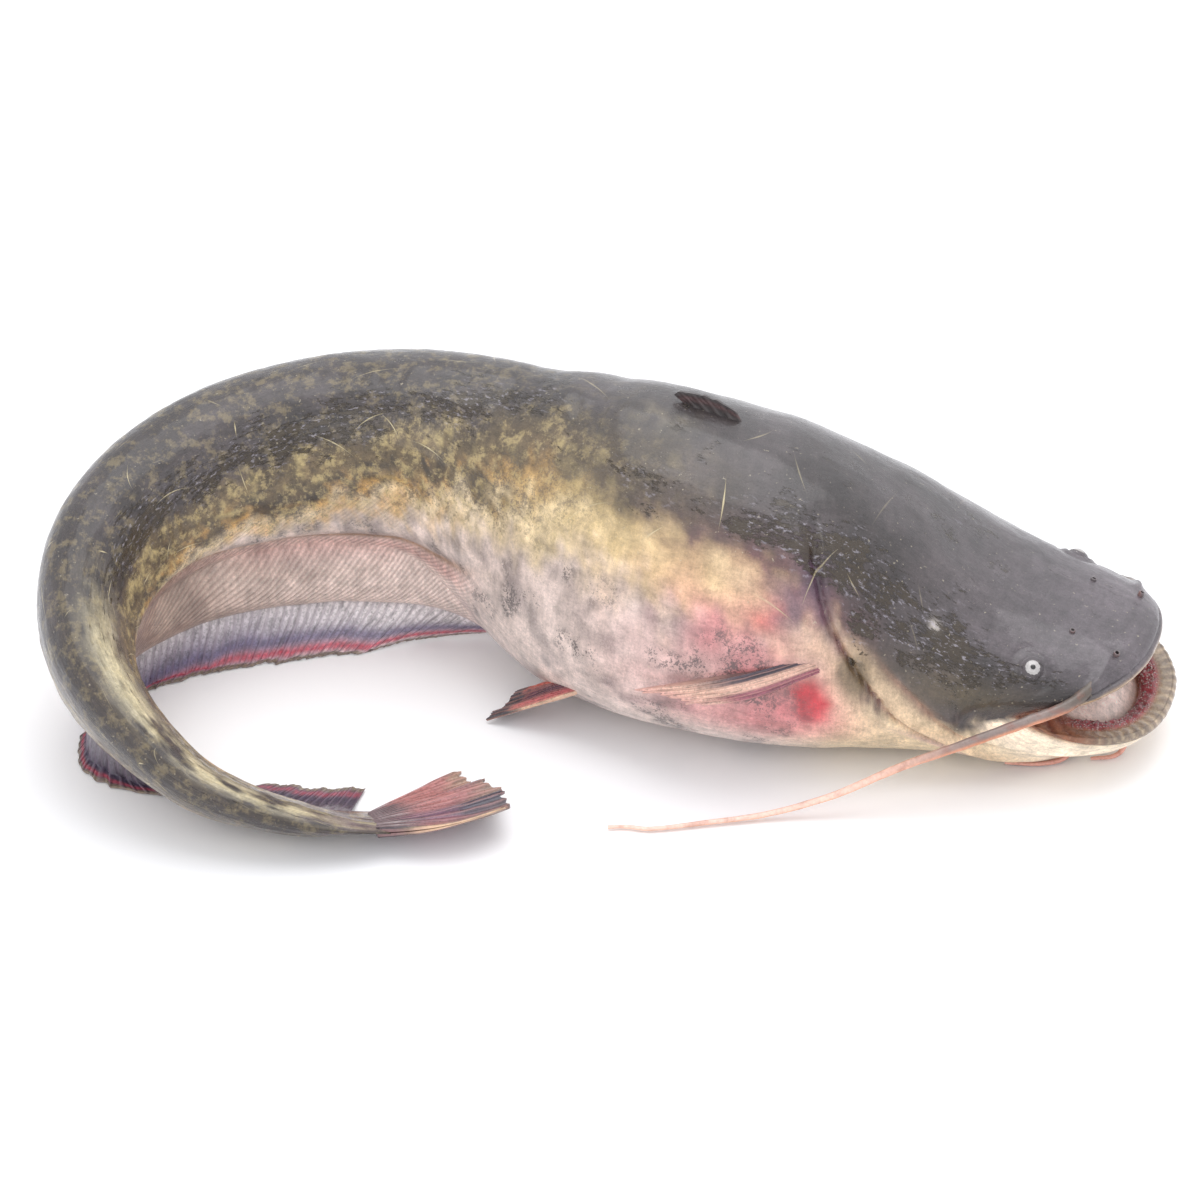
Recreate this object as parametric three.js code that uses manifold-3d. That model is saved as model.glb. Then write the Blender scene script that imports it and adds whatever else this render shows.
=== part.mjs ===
// A whole Wels catfish lying on its belly, mouth open, its tail curled round to the right and rolled over.
// Millimetres, +Z up. The origin is under the middle of the fish, on the plane that the belly rests on.
import * as THREE from 'three';
import { mergeVertices } from 'three/addons/utils/BufferGeometryUtils.js';
import Module from 'manifold-3d';

const wasm = await Module();
wasm.setup();

// Driving dimensions.
const STANDARD_LENGTH = 812; // snout to the root of the tail fin, along the curled body
const TRUNK_WIDTH = 172; // broadest part of the trunk
const TRUNK_DEPTH = 158; // the section tables give heights as shares of this
const BELLY_SINK = 1.2; // how far the belly would reach below the floor if it were not pressed flat
const MOUTH_LENGTH = 52; // corner of the mouth to the front of the upper lip
const MOUTH_WIDTH = 116; // corner to corner
const UPPER_LIP_HEIGHT = 58; // front of the upper lip above the floor
const LOWER_LIP_HEIGHT = 26; // front of the lower lip above the floor
const MOUTH_CORNER_HEIGHT = 42; // corner of the mouth above the floor
const JAW_REACH = 9; // how far the lower jaw stands in front of the upper
const CHIN_INSET = 5; // the lower lip's front, behind the start of the body's middle line
const EYE_DIAMETER = 13;
const EYE_SHOWING = 3.4; // how far the eyeball stands out of the skin
const EYE_SETBACK = 0.074; // place of the eyes, as a share of the standard length
const EYE_TURN = 0.72; // how far round the head the eyes stand, from level towards the back, in radians
const FIN_ROOT_THICKNESS = 3.2;
const FIN_EDGE_THICKNESS = 1.4;
const FIN_ROOT_DEPTH = 4; // a fin's root is sunk this far before it is trimmed to the skin
const ANAL_FIN_DEPTH = 34;
const CAUDAL_FIN_LENGTH = 60;
const CAUDAL_FIN_WIDTH = 64;
const CAUDAL_SWEEP = 14; // degrees that the tail fin turns on round the curl
const DORSAL_FIN_HEIGHT = 13;
const PECTORAL_FIN_LENGTH = 88;
const PECTORAL_FIN_WIDTH = 26;
const PECTORAL_FIN_START = 0.198; // place of its root, as a share of the standard length
const PECTORAL_FIN_BOW = 10; // how far the middle of the fin stands off the belly
const PELVIC_FIN_LENGTH = 46;
const PELVIC_FIN_WIDTH = 26;
const HEAD_END = 0.125; // share of the standard length behind which the skin follows the section tables
const TAIL_ROUNDING = 3; // how far the tail stalk's end bulges
const FIN_ROOT_SPREAD = 0.8; // share of the tail stalk's height that the tail fin's root takes
const ANAL_FIN_START = 0.412;
const ANAL_FIN_END = 0.98;
const ANAL_FIN_SLANT = 10; // how far the anal fin's edge lies behind its root
const MAXILLARY_BARBEL_WIDTH = 7;
const MANDIBULAR_BARBEL_WIDTH = 3.6;
const BARBEL_TIP_WIDTH = 1.8;
const FIT_GAP = 0.35; // clearance between the skin and every piece that stands on it or sits in it

// Mesh fineness.
const POINTS_ROUND = 36;
const SPINE_STEPS = 400;
const HEAD_RINGS = 9;
const TRUNK_RINGS = 46;
const BARBEL_SIDES = 10;

// Tables along the body: share of the standard length from the snout, then the value there.
const HEADING = [[0, 160], [0.1, 162], [0.17, 169], [0.22, 176], [0.27, 170], [0.33, 157], [0.41, 150],
  [0.48, 165], [0.56, 191], [0.63, 214], [0.7, 241], [0.77, 277], [0.83, 311], [0.89, 338], [0.95, 358], [1, 374]];
const ROLL = [[0, 0], [0.15, 2], [0.25, 5], [0.35, 9], [0.55, 10], [0.7, 9], [0.76, 14], [0.82, 26], [0.88, 42],
  [0.94, 58], [1, 72]];
const HALF_WIDTH = [[0, 0.42], [0.04, 0.6], [0.08, 0.71], [0.13, 0.8], [0.19, 0.88], [0.25, 0.95], [0.31, 0.92],
  [0.36, 0.78], [0.42, 0.6], [0.5, 0.48], [0.6, 0.4], [0.7, 0.32], [0.8, 0.22], [0.9, 0.13], [1, 0.05]];
const BACK_HEIGHT = [[0, 0.2], [0.07, 0.26], [0.12, 0.32], [0.18, 0.47], [0.25, 0.6], [0.33, 0.63], [0.38, 0.585],
  [0.43, 0.46], [0.5, 0.315], [0.6, 0.31], [0.7, 0.29], [0.8, 0.21], [0.9, 0.14], [1, 0.09]];
const BELLY_DEPTH = [[0, 0.1], [0.07, 0.2], [0.12, 0.25], [0.18, 0.3], [0.25, 0.33], [0.33, 0.35], [0.39, 0.38],
  [0.44, 0.38], [0.5, 0.35], [0.6, 0.27], [0.7, 0.2], [0.8, 0.15], [0.9, 0.12], [1, 0.1]];
const KEEL_DEPTH = [[0, 0], [0.4, 0], [0.44, 0.06], [0.5, 0.18], [0.58, 0.2], [0.68, 0.18], [0.8, 0.15], [0.9, 0.08],
  [1, 0.02]];
const KEEL_LEAN = [[0, 20], [0.44, 30], [0.52, 30], [0.6, 24], [0.66, 10], [0.72, -10], [0.78, -35], [0.84, -20],
  [0.9, 10], [1, 0]];
const TOP_POWER = [[0, 3], [0.1, 2.8], [0.2, 2.3], [1, 2]];
const BOTTOM_POWER = [[0, 2.5], [0.12, 2.6], [0.2, 3.1], [0.34, 3.2], [0.46, 2.3], [1, 2]];
const LIFT = [[0, 4], [0.06, 1], [0.1, 0], [0.36, 0], [0.42, 12], [0.5, 24], [0.6, 24], [0.7, 20], [0.8, 12],
  [0.9, 5], [1, 4]];
const KEEL_START = 0.8; // the keel hangs from the lowest fifth of the section

const DEGREE = Math.PI / 180;
const UP = new THREE.Vector3(0, 0, 1);

// A smooth curve through a table's rows that never overshoots them.
function along(table, share) {
  const last = table.length - 2;
  let row = 0;
  while (row < last && share >= table[row + 1][0]) row += 1;
  const span = (i) => table[i + 1][0] - table[i][0];
  const rise = (i) => (table[i + 1][1] - table[i][1]) / span(i);
  const slope = (i) => {
    if (i === 0) return rise(0);
    if (i > last) return rise(last);
    if (rise(i - 1) * rise(i) <= 0) return 0;
    const before = 2 * span(i) + span(i - 1);
    const after = span(i) + 2 * span(i - 1);
    return (before + after) / (before / rise(i - 1) + after / rise(i));
  };
  const h = span(row);
  const u = THREE.MathUtils.clamp((share - table[row][0]) / h, 0, 1);
  const near = (1 + 2 * u) * (1 - u) ** 2 * table[row][1] + u * (1 - u) ** 2 * h * slope(row);
  const far = u * u * (3 - 2 * u) * table[row + 1][1] + u * u * (u - 1) * h * slope(row + 1);
  return near + far;
}

// The middle line of the fish on the floor, walked from the snout in short steps along its heading.
const spine = [new THREE.Vector3()];
for (let step = 0; step < SPINE_STEPS; step += 1) {
  const angle = along(HEADING, (step + 0.5) / SPINE_STEPS) * DEGREE;
  const stride = STANDARD_LENGTH / SPINE_STEPS;
  const next = spine[step].clone();
  next.x += Math.cos(angle) * stride;
  next.y += Math.sin(angle) * stride;
  spine.push(next);
}

function spinePoint(share) {
  const place = THREE.MathUtils.clamp(share, 0, 1) * SPINE_STEPS;
  const step = Math.min(Math.floor(place), SPINE_STEPS - 1);
  const point = spine[step].clone().lerp(spine[step + 1], place - step);
  const beyond = share - THREE.MathUtils.clamp(share, 0, 1);
  return point.addScaledVector(heading(share), beyond * STANDARD_LENGTH);
}

function heading(share) {
  const angle = along(HEADING, share) * DEGREE;
  return new THREE.Vector3(Math.cos(angle), Math.sin(angle), 0);
}

function rightHand(share) {
  const tailward = heading(share);
  return new THREE.Vector3(-tailward.y, tailward.x, 0);
}

const power = (value, exponent) => Math.sign(value) * Math.abs(value) ** exponent;

// Everything that places a section: its middle, its two axes and its sizes.
const stations = new Map();
function station(share) {
  if (stations.has(share)) return stations.get(share);
  const roll = along(ROLL, share) * DEGREE;
  const side = rightHand(share).multiplyScalar(Math.cos(roll)).addScaledVector(UP, Math.sin(roll));
  const up = UP.clone().multiplyScalar(Math.cos(roll)).addScaledVector(rightHand(share), -Math.sin(roll));
  const found = {
    side,
    up,
    halfWidth: along(HALF_WIDTH, share) * TRUNK_WIDTH / 2,
    back: along(BACK_HEIGHT, share) * TRUNK_DEPTH,
    belly: along(BELLY_DEPTH, share) * TRUNK_DEPTH,
    keel: along(KEEL_DEPTH, share) * TRUNK_DEPTH,
    lean: along(KEEL_LEAN, share) * DEGREE,
    topPower: along(TOP_POWER, share),
    bottomPower: along(BOTTOM_POWER, share),
    centre: spinePoint(share),
  };
  let lowest = Infinity;
  for (let i = 0; i < POINTS_ROUND * 2; i += 1) {
    lowest = Math.min(lowest, sectionPoint(found, i / POINTS_ROUND * Math.PI).z);
  }
  found.centre.z = along(LIFT, share) - lowest - BELLY_SINK;
  stations.set(share, found);
  return found;
}

// A point on the skin of one section: 0 is the fish's right side, a quarter turn is its back.
function sectionPoint(at, turn) {
  const c = Math.cos(turn);
  const s = Math.sin(turn);
  const exponent = 2 / (s > 0 ? at.topPower : at.bottomPower);
  const hang = THREE.MathUtils.clamp((-s - KEEL_START) / (1 - KEEL_START), 0, 1) * at.keel;
  const across = power(c, exponent) * at.halfWidth + Math.sin(at.lean) * hang;
  const high = power(s, exponent) * (s > 0 ? at.back : at.belly) - Math.cos(at.lean) * hang;
  return at.centre.clone().addScaledVector(at.side, across).addScaledVector(at.up, high);
}

// The edge of the open mouth: two bows, the upper and the lower lip, that meet at the corners.
const LIP_POWER = 2 / 2.3;
const LIP_ARCH = 0.6;
// Where the front of the upper lip stands, as a share of the standard length.
const UPPER_LIP_START = (JAW_REACH + CHIN_INSET) / STANDARD_LENGTH;
function lipPoint(turn) {
  const s = Math.sin(turn);
  const front = Math.abs(s) ** LIP_POWER;
  const lower = s < 0;
  const setback = MOUTH_LENGTH * (1 - front) - (lower ? JAW_REACH * front : 0);
  const share = UPPER_LIP_START + setback / STANDARD_LENGTH;
  const height = lower ? LOWER_LIP_HEIGHT : UPPER_LIP_HEIGHT;
  const reach = power(Math.cos(turn), LIP_POWER) * MOUTH_WIDTH / 2;
  const point = spinePoint(share).addScaledVector(rightHand(share), reach);
  point.z = MOUTH_CORNER_HEIGHT + (height - MOUTH_CORNER_HEIGHT) * Math.abs(s) ** LIP_ARCH;
  return point;
}

// The skin of the head runs from the lips back to the first section, each line a cubic curve.
const LIP_FULLNESS = 5; // how far the skin swells forward as it leaves the lips
const BROW_RISE = 15; // how far it swells up from the upper lip and down from the lower
const CHEEK_PULL = 0.35; // how straight the cheek runs back from the corner of the mouth
const NAPE_PULL = 0.42; // how smoothly the head meets the first section
function skinPoint(share, turn) {
  if (share >= HEAD_END) return pressFlat(sectionPoint(station(share), turn));
  const lip = lipPoint(turn);
  const root = sectionPoint(station(HEAD_END), turn);
  const behind = sectionPoint(station(HEAD_END + 0.01), turn);
  const fore = root.clone().sub(behind).normalize();
  const reach = lip.distanceTo(root);
  const s = Math.sin(turn);
  const frontness = Math.abs(s) ** 0.8;
  const outward = rightHand(0.03).multiplyScalar(Math.cos(turn)).addScaledVector(heading(0.03), -Math.abs(s));
  const leave = outward.multiplyScalar(frontness * LIP_FULLNESS);
  leave.addScaledVector(UP, Math.sign(s) * frontness * BROW_RISE);
  leave.addScaledVector(heading(0.08), (1 - frontness) * reach * CHEEK_PULL);
  const arrive = root.clone().addScaledVector(fore, reach * NAPE_PULL);
  const curve = new THREE.CubicBezierCurve3(lip, lip.clone().add(leave), arrive, root);
  return pressFlat(curve.getPoint(share / HEAD_END));
}

function pressFlat(point) {
  point.z = Math.max(point.z, 0);
  return point;
}

// The lining of the mouth: the lips turn in, then the palate and the floor run back to the throat.
// Each row: share of the mouth's plan left, rise of the palate, fall of the floor.
const LINING = [[0.9, -1.5, -1], [0.78, 0, 0.5], [0.72, 3, 6], [0.5, 6, 9], [0.25, 5, 6]];
const TONGUE_HEIGHT = 7;
const TONGUE_ROW = 3; // the tongue lies inside this row of the lining
const MOUTH_MIDDLE = 0.72; // the lining closes in round a place this far back between the corners
const THROAT = 0.8;
const mouthShare = (back) => UPPER_LIP_START + MOUTH_LENGTH * back / STANDARD_LENGTH;
function liningPoint(row, turn) {
  const [plan, rise, fall] = LINING[row];
  const lip = lipPoint(turn);
  const middle = spinePoint(mouthShare(MOUTH_MIDDLE));
  middle.z = MOUTH_CORNER_HEIGHT;
  const point = middle.clone().lerp(lip, plan);
  const s = Math.sin(turn);
  const bow = Math.abs(s) ** 0.7;
  const flat = MOUTH_CORNER_HEIGHT + (lip.z - MOUTH_CORNER_HEIGHT) * Math.min(1, plan + 0.35);
  const tongue = s < 0 && row >= TONGUE_ROW ? TONGUE_HEIGHT * Math.max(0, -s) ** 2 : 0;
  point.z = flat + (s > 0 ? rise : -fall) * bow + tongue;
  return point;
}

// Joins rings of points into one closed solid, with a point at each end.
function loft(start, rings, end) {
  const size = rings[0].length;
  const points = [start, ...rings.flat(), end];
  const faces = [];
  const at = (ring, i) => 1 + ring * size + (i % size);
  for (let i = 0; i < size; i += 1) {
    faces.push(0, at(0, i + 1), at(0, i));
    faces.push(points.length - 1, at(rings.length - 1, i), at(rings.length - 1, i + 1));
    for (let ring = 0; ring < rings.length - 1; ring += 1) {
      faces.push(at(ring, i), at(ring, i + 1), at(ring + 1, i + 1));
      faces.push(at(ring, i), at(ring + 1, i + 1), at(ring + 1, i));
    }
  }
  if (volume(points, faces) < 0) faces.reverse();
  const geometry = new THREE.BufferGeometry();
  geometry.setAttribute('position', new THREE.Float32BufferAttribute(points.flatMap((p) => p.toArray()), 3));
  geometry.setIndex(faces);
  return geometry;
}

function volume(points, faces) {
  let sum = 0;
  for (let i = 0; i < faces.length; i += 3) {
    const [a, b, c] = [points[faces[i]], points[faces[i + 1]], points[faces[i + 2]]];
    sum += a.dot(b.clone().cross(c)) / 6;
  }
  return sum;
}

function toSolid(geometry) {
  const bare = geometry.clone();
  bare.deleteAttribute('normal');
  bare.deleteAttribute('uv');
  const merged = mergeVertices(bare, 1e-4);
  return new wasm.Manifold(new wasm.Mesh({
    numProp: 3,
    vertProperties: new Float32Array(merged.attributes.position.array),
    triVerts: new Uint32Array(merged.index.array),
  }));
}

function toGeometry(solid) {
  const mesh = solid.getMesh();
  const geometry = new THREE.BufferGeometry();
  geometry.setAttribute('position', new THREE.BufferAttribute(Float32Array.from(mesh.vertProperties), 3));
  geometry.setIndex(new THREE.BufferAttribute(Uint32Array.from(mesh.triVerts), 1));
  return geometry;
}

// The same closed surface moved outward along its own normals.
function grown(geometry, distance) {
  const larger = geometry.clone();
  larger.computeVertexNormals();
  const { position, normal } = larger.attributes;
  for (let i = 0; i < position.count; i += 1) {
    position.setXYZ(i, position.getX(i) + normal.getX(i) * distance,
      position.getY(i) + normal.getY(i) * distance, position.getZ(i) + normal.getZ(i) * distance);
  }
  return larger;
}

const turns = Array.from({ length: POINTS_ROUND }, (_, i) => i / POINTS_ROUND * 2 * Math.PI);

function bodyGeometry() {
  const throat = spinePoint(mouthShare(THROAT));
  throat.z = MOUTH_CORNER_HEIGHT - 2;
  const rings = [];
  for (let row = LINING.length - 1; row >= 0; row -= 1) {
    rings.push(turns.map((turn) => liningPoint(row, turn)));
  }
  for (let i = 0; i < HEAD_RINGS; i += 1) {
    const share = HEAD_END * (i / HEAD_RINGS) ** 1.3;
    rings.push(turns.map((turn) => skinPoint(share, turn)));
  }
  for (let i = 0; i <= TRUNK_RINGS; i += 1) {
    const share = HEAD_END + (1 - HEAD_END) * i / TRUNK_RINGS;
    rings.push(turns.map((turn) => skinPoint(share, turn)));
  }
  const tailEnd = station(1).centre.clone().addScaledVector(heading(1), TAIL_ROUNDING);
  return loft(throat, rings, tailEnd);
}

// A thin fin: a closed leaf between its root line and its outer edge, thick at the root.
// Both lines are functions of 0..1; bow lifts the middle of the leaf off the straight line between them.
function finGeometry(root, edge, columns, rows, bow = 0, lift = UP) {
  const middle = (u, v) => root(u).lerp(edge(u), v).addScaledVector(lift, bow * Math.sin(Math.PI * v));
  const step = 0.01;
  const face = (u, v) => {
    const alongRoot = middle(Math.min(u + step, 1), v).sub(middle(Math.max(u - step, 0), v));
    const outward = middle(u, Math.min(v + step, 1)).sub(middle(u, Math.max(v - step, 0)));
    return alongRoot.cross(outward).normalize();
  };
  const rings = [];
  for (let column = 0; column <= columns; column += 1) {
    const u = column / columns;
    const front = [];
    const back = [];
    for (let row = 0; row <= rows; row += 1) {
      const v = row / rows;
      const half = THREE.MathUtils.lerp(FIN_ROOT_THICKNESS, FIN_EDGE_THICKNESS, v) / 2;
      const normal = face(u, v);
      front.push(middle(u, v).addScaledVector(normal, half));
      back.unshift(middle(u, v).addScaledVector(normal, -half));
    }
    rings.push([...front, ...back]);
  }
  const centre = (ring) => ring.reduce((sum, p) => sum.add(p), new THREE.Vector3()).divideScalar(ring.length);
  return loft(centre(rings[0]), rings, centre(rings[columns]));
}

// A barbel: a round whisker along a smooth curve, tapering from root to tip.
function barbelGeometry(points, width, pieces) {
  const curve = new THREE.CatmullRomCurve3(points, false, 'centripetal');
  const frames = curve.computeFrenetFrames(pieces, false);
  const rings = [];
  for (let i = 0; i <= pieces; i += 1) {
    const share = i / pieces;
    const radius = THREE.MathUtils.lerp(width, BARBEL_TIP_WIDTH, share ** 0.8) / 2;
    const centre = curve.getPointAt(share);
    rings.push(Array.from({ length: BARBEL_SIDES }, (_, k) => {
      const angle = k / BARBEL_SIDES * 2 * Math.PI;
      return centre.clone().addScaledVector(frames.normals[i], radius * Math.cos(angle))
        .addScaledVector(frames.binormals[i], radius * Math.sin(angle));
    }));
  }
  return loft(curve.getPointAt(0), rings, curve.getPointAt(1));
}

// A place beside the fish: distance behind the snout and to the right, both along the floor, and height.
function besideHead(setback, right, height) {
  const share = setback / STANDARD_LENGTH;
  const point = spinePoint(share).addScaledVector(rightHand(share), right);
  point.z = height;
  return point;
}

// A point sunk into, or standing out of, the skin.
function offSkin(share, turn, distance) {
  const here = skinPoint(share, turn);
  const normal = skinPoint(share, turn + 0.05).sub(skinPoint(share, turn - 0.05))
    .cross(skinPoint(share + 0.004, turn).sub(skinPoint(share - 0.004, turn))).normalize();
  return here.addScaledVector(normal, distance);
}

const skin = bodyGeometry();
let body = toSolid(skin);
const skinClearance = toSolid(grown(skin, FIT_GAP));
const trimmed = (geometry) => toGeometry(toSolid(geometry).subtract(skinClearance));

const catfish = new THREE.Group();
function addPiece(name, geometry, color, roughness) {
  const mesh = new THREE.Mesh(geometry, new THREE.MeshStandardMaterial({ color, roughness, metalness: 0 }));
  mesh.name = name;
  catfish.add(mesh);
}

// Eyes: round balls in round sockets.
const eyeTurns = { eye_right: EYE_TURN, eye_left: Math.PI - EYE_TURN };
for (const [name, turn] of Object.entries(eyeTurns)) {
  const centre = offSkin(EYE_SETBACK, turn, EYE_SHOWING - EYE_DIAMETER / 2);
  const ball = new THREE.SphereGeometry(EYE_DIAMETER / 2, 16, 12).translate(...centre.toArray());
  const socket = new THREE.SphereGeometry(EYE_DIAMETER / 2 + FIT_GAP, 16, 12).translate(...centre.toArray());
  body = body.subtract(toSolid(socket));
  addPiece(name, ball, '#c9c4ae', 0.15);
}
addPiece('body', toGeometry(body), '#6f6a60', 0.35);

// Fins on the middle line. The keel's tip is the lowest point of a section.
const ventral = 1.5 * Math.PI;
const dorsal = 0.5 * Math.PI;
const keelOut = (share) => {
  const at = station(share);
  return at.side.clone().multiplyScalar(Math.sin(at.lean)).addScaledVector(at.up, -Math.cos(at.lean));
};
const analRoot = (u) => {
  const share = THREE.MathUtils.lerp(ANAL_FIN_START, ANAL_FIN_END, u);
  return skinPoint(share, ventral).addScaledVector(keelOut(share), -FIN_ROOT_DEPTH);
};
const analEdge = (u) => {
  const share = THREE.MathUtils.lerp(ANAL_FIN_START, ANAL_FIN_END, u);
  const depth = ANAL_FIN_DEPTH * Math.min(1, 0.3 + 5 * u) * (1 - 0.35 * u);
  const point = skinPoint(share, ventral).addScaledVector(keelOut(share), depth);
  point.z = Math.max(point.z, FIN_EDGE_THICKNESS);
  return point.addScaledVector(heading(share), ANAL_FIN_SLANT);
};
addPiece('anal_fin', trimmed(finGeometry(analRoot, analEdge, 56, 5)), '#6d5560', 0.5);

const tail = station(1);
const sweep = heading(1).applyAxisAngle(UP, CAUDAL_SWEEP * DEGREE);
const across = tail.up.clone().applyAxisAngle(UP, CAUDAL_SWEEP * DEGREE);
const caudalRoot = (u) => tail.centre.clone().addScaledVector(heading(1), -FIN_ROOT_DEPTH * 1.5)
  .addScaledVector(tail.up, THREE.MathUtils.lerp(-tail.belly, tail.back, u) * FIN_ROOT_SPREAD);
const caudalEdge = (u) => {
  const spread = THREE.MathUtils.lerp(-0.5, 0.5, u) * CAUDAL_FIN_WIDTH;
  const reach = CAUDAL_FIN_LENGTH * (1 - 0.15 * (2 * u - 1) ** 2);
  const point = tail.centre.clone().addScaledVector(sweep, reach).addScaledVector(across, spread);
  point.z = Math.max(point.z, FIN_EDGE_THICKNESS);
  return point;
};
addPiece('caudal_fin', trimmed(finGeometry(caudalRoot, caudalEdge, 10, 8)), '#a08078', 0.5);

const dorsalRoot = (u) => offSkin(THREE.MathUtils.lerp(0.272, 0.305, u), dorsal, -FIN_ROOT_DEPTH);
const dorsalEdge = (u) => offSkin(THREE.MathUtils.lerp(0.286, 0.332, u), dorsal,
  DORSAL_FIN_HEIGHT * THREE.MathUtils.lerp(0.75, 0.55, u));
addPiece('dorsal_fin', trimmed(finGeometry(dorsalRoot, dorsalEdge, 8, 5)), '#4a4645', 0.5);

// Paired fins: the left one is the right one's mirror image about the fish's middle line.
for (const [name, hand] of [['right', 1], ['left', -1]]) {
  const turn = (angle) => (hand > 0 ? angle : Math.PI - angle);
  const pectoralRoot = (u) => offSkin(THREE.MathUtils.lerp(PECTORAL_FIN_START, PECTORAL_FIN_START + 0.016, u),
    turn(THREE.MathUtils.lerp(0.3, 0.14, u)), -FIN_ROOT_DEPTH);
  const pectoralEdge = (u) => {
    const share = PECTORAL_FIN_START + PECTORAL_FIN_LENGTH * (1 - 0.4 * u) / STANDARD_LENGTH;
    const standOff = THREE.MathUtils.lerp(8, PECTORAL_FIN_WIDTH * 0.55, u);
    return offSkin(share, turn(THREE.MathUtils.lerp(-0.12, -0.05, u)), standOff);
  };
  const outward = rightHand(0.24).multiplyScalar(hand);
  const pectoral = finGeometry(pectoralRoot, pectoralEdge, 8, 10, PECTORAL_FIN_BOW, outward);
  addPiece(`pectoral_fin_${name}`, trimmed(pectoral), '#b58a80', 0.5);

  const pelvicRoot = (u) => offSkin(THREE.MathUtils.lerp(0.335, 0.352, u), turn(-0.55), -FIN_ROOT_DEPTH);
  const pelvicEdge = (u) => {
    const point = skinPoint(0.345, turn(-0.55));
    point.addScaledVector(heading(0.33), PELVIC_FIN_LENGTH * THREE.MathUtils.lerp(0.95, 0.8, u));
    point.addScaledVector(rightHand(0.33), hand * THREE.MathUtils.lerp(0.2, -0.75, u) * PELVIC_FIN_WIDTH);
    point.z = FIN_EDGE_THICKNESS + THREE.MathUtils.lerp(0, 4, u);
    return point;
  };
  addPiece(`pelvic_fin_${name}`, trimmed(finGeometry(pelvicRoot, pelvicEdge, 8, 8)), '#b2726a', 0.5);

  // Barbels: their routes are set out by hand from the snout.
  const route = (rows) => rows.map(([setback, right, height]) => besideHead(setback, hand * right, height));
  const maxillary = route([[44, 56, 53], [60, 65, 47], [90, 79, 36], [126, 91, 25], [170, 101, 12],
    [199, 108, 4], [220, 117, 2.4], [237, 127, 1.9], [243, 128, 1.8], [248, 131, 1.8]]);
  maxillary.unshift(offSkin(0.02, turn(0.62), -2.5));
  const maxillaryBarbel = barbelGeometry(maxillary, MAXILLARY_BARBEL_WIDTH, 40);
  addPiece(`maxillary_barbel_${name}`, trimmed(maxillaryBarbel), '#b9917f', 0.5);
  const front = [offSkin(0.044, turn(-1.42), -2.5), ...route([[22, 16, 5], [25, 20, 2.2], [36, 26, 1.8]])];
  const rear = [offSkin(0.069, turn(-1.21), -2.5), ...route([[48, 31, 3.4], [58, 38, 2], [76, 43, 1.8]])];
  const frontBarbel = barbelGeometry(front, MANDIBULAR_BARBEL_WIDTH, 12);
  addPiece(`front_chin_barbel_${name}`, trimmed(frontBarbel), '#c98d80', 0.5);
  const rearBarbel = barbelGeometry(rear, MANDIBULAR_BARBEL_WIDTH, 12);
  addPiece(`rear_chin_barbel_${name}`, trimmed(rearBarbel), '#c98d80', 0.5);
}

// Put the origin under the middle of the fish.
const box = new THREE.Box3().setFromObject(catfish);
const middle = box.getCenter(new THREE.Vector3());
catfish.position.set(-middle.x, -middle.y, -box.min.z);

export default catfish;
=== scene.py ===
# %% [markdown]
# # A Wels catfish on a pale slab
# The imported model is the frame: every solid in it has its place and size. Here each solid gets its looks.
# The fish is soft and wet all over, so nearly every piece is a fine mesh shaped like the solid it stands
# for, with the folds, rays and frayed edges that the plain solid leaves out, and a procedural finish.

# %% Load the frame
import math

import bpy
import numpy as np
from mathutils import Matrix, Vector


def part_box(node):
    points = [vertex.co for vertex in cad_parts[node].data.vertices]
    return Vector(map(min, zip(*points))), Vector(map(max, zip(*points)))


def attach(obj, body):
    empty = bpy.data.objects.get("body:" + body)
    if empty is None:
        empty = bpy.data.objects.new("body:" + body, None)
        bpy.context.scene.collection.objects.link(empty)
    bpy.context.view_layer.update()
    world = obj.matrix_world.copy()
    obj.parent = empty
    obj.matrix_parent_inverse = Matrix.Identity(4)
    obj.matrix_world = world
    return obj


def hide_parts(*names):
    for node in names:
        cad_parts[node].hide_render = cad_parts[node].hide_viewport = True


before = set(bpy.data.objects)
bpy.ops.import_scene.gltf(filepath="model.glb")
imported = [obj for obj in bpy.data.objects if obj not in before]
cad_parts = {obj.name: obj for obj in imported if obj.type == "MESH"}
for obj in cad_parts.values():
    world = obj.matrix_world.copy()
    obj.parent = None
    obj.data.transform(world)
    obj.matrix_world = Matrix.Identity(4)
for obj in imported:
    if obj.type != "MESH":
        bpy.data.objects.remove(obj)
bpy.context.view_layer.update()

# %% [markdown]
# The fish is measured in millimetres along its own body. A place on the skin is given by a share of the
# body's length, 0 at the snout and 1 at the root of the tail fin, and by a turn round the section, 0 on
# the fish's right side and a quarter turn on its back. These sizes and tables are the ones that the
# solids were made from, so each skin lies where its solid lies.

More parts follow.
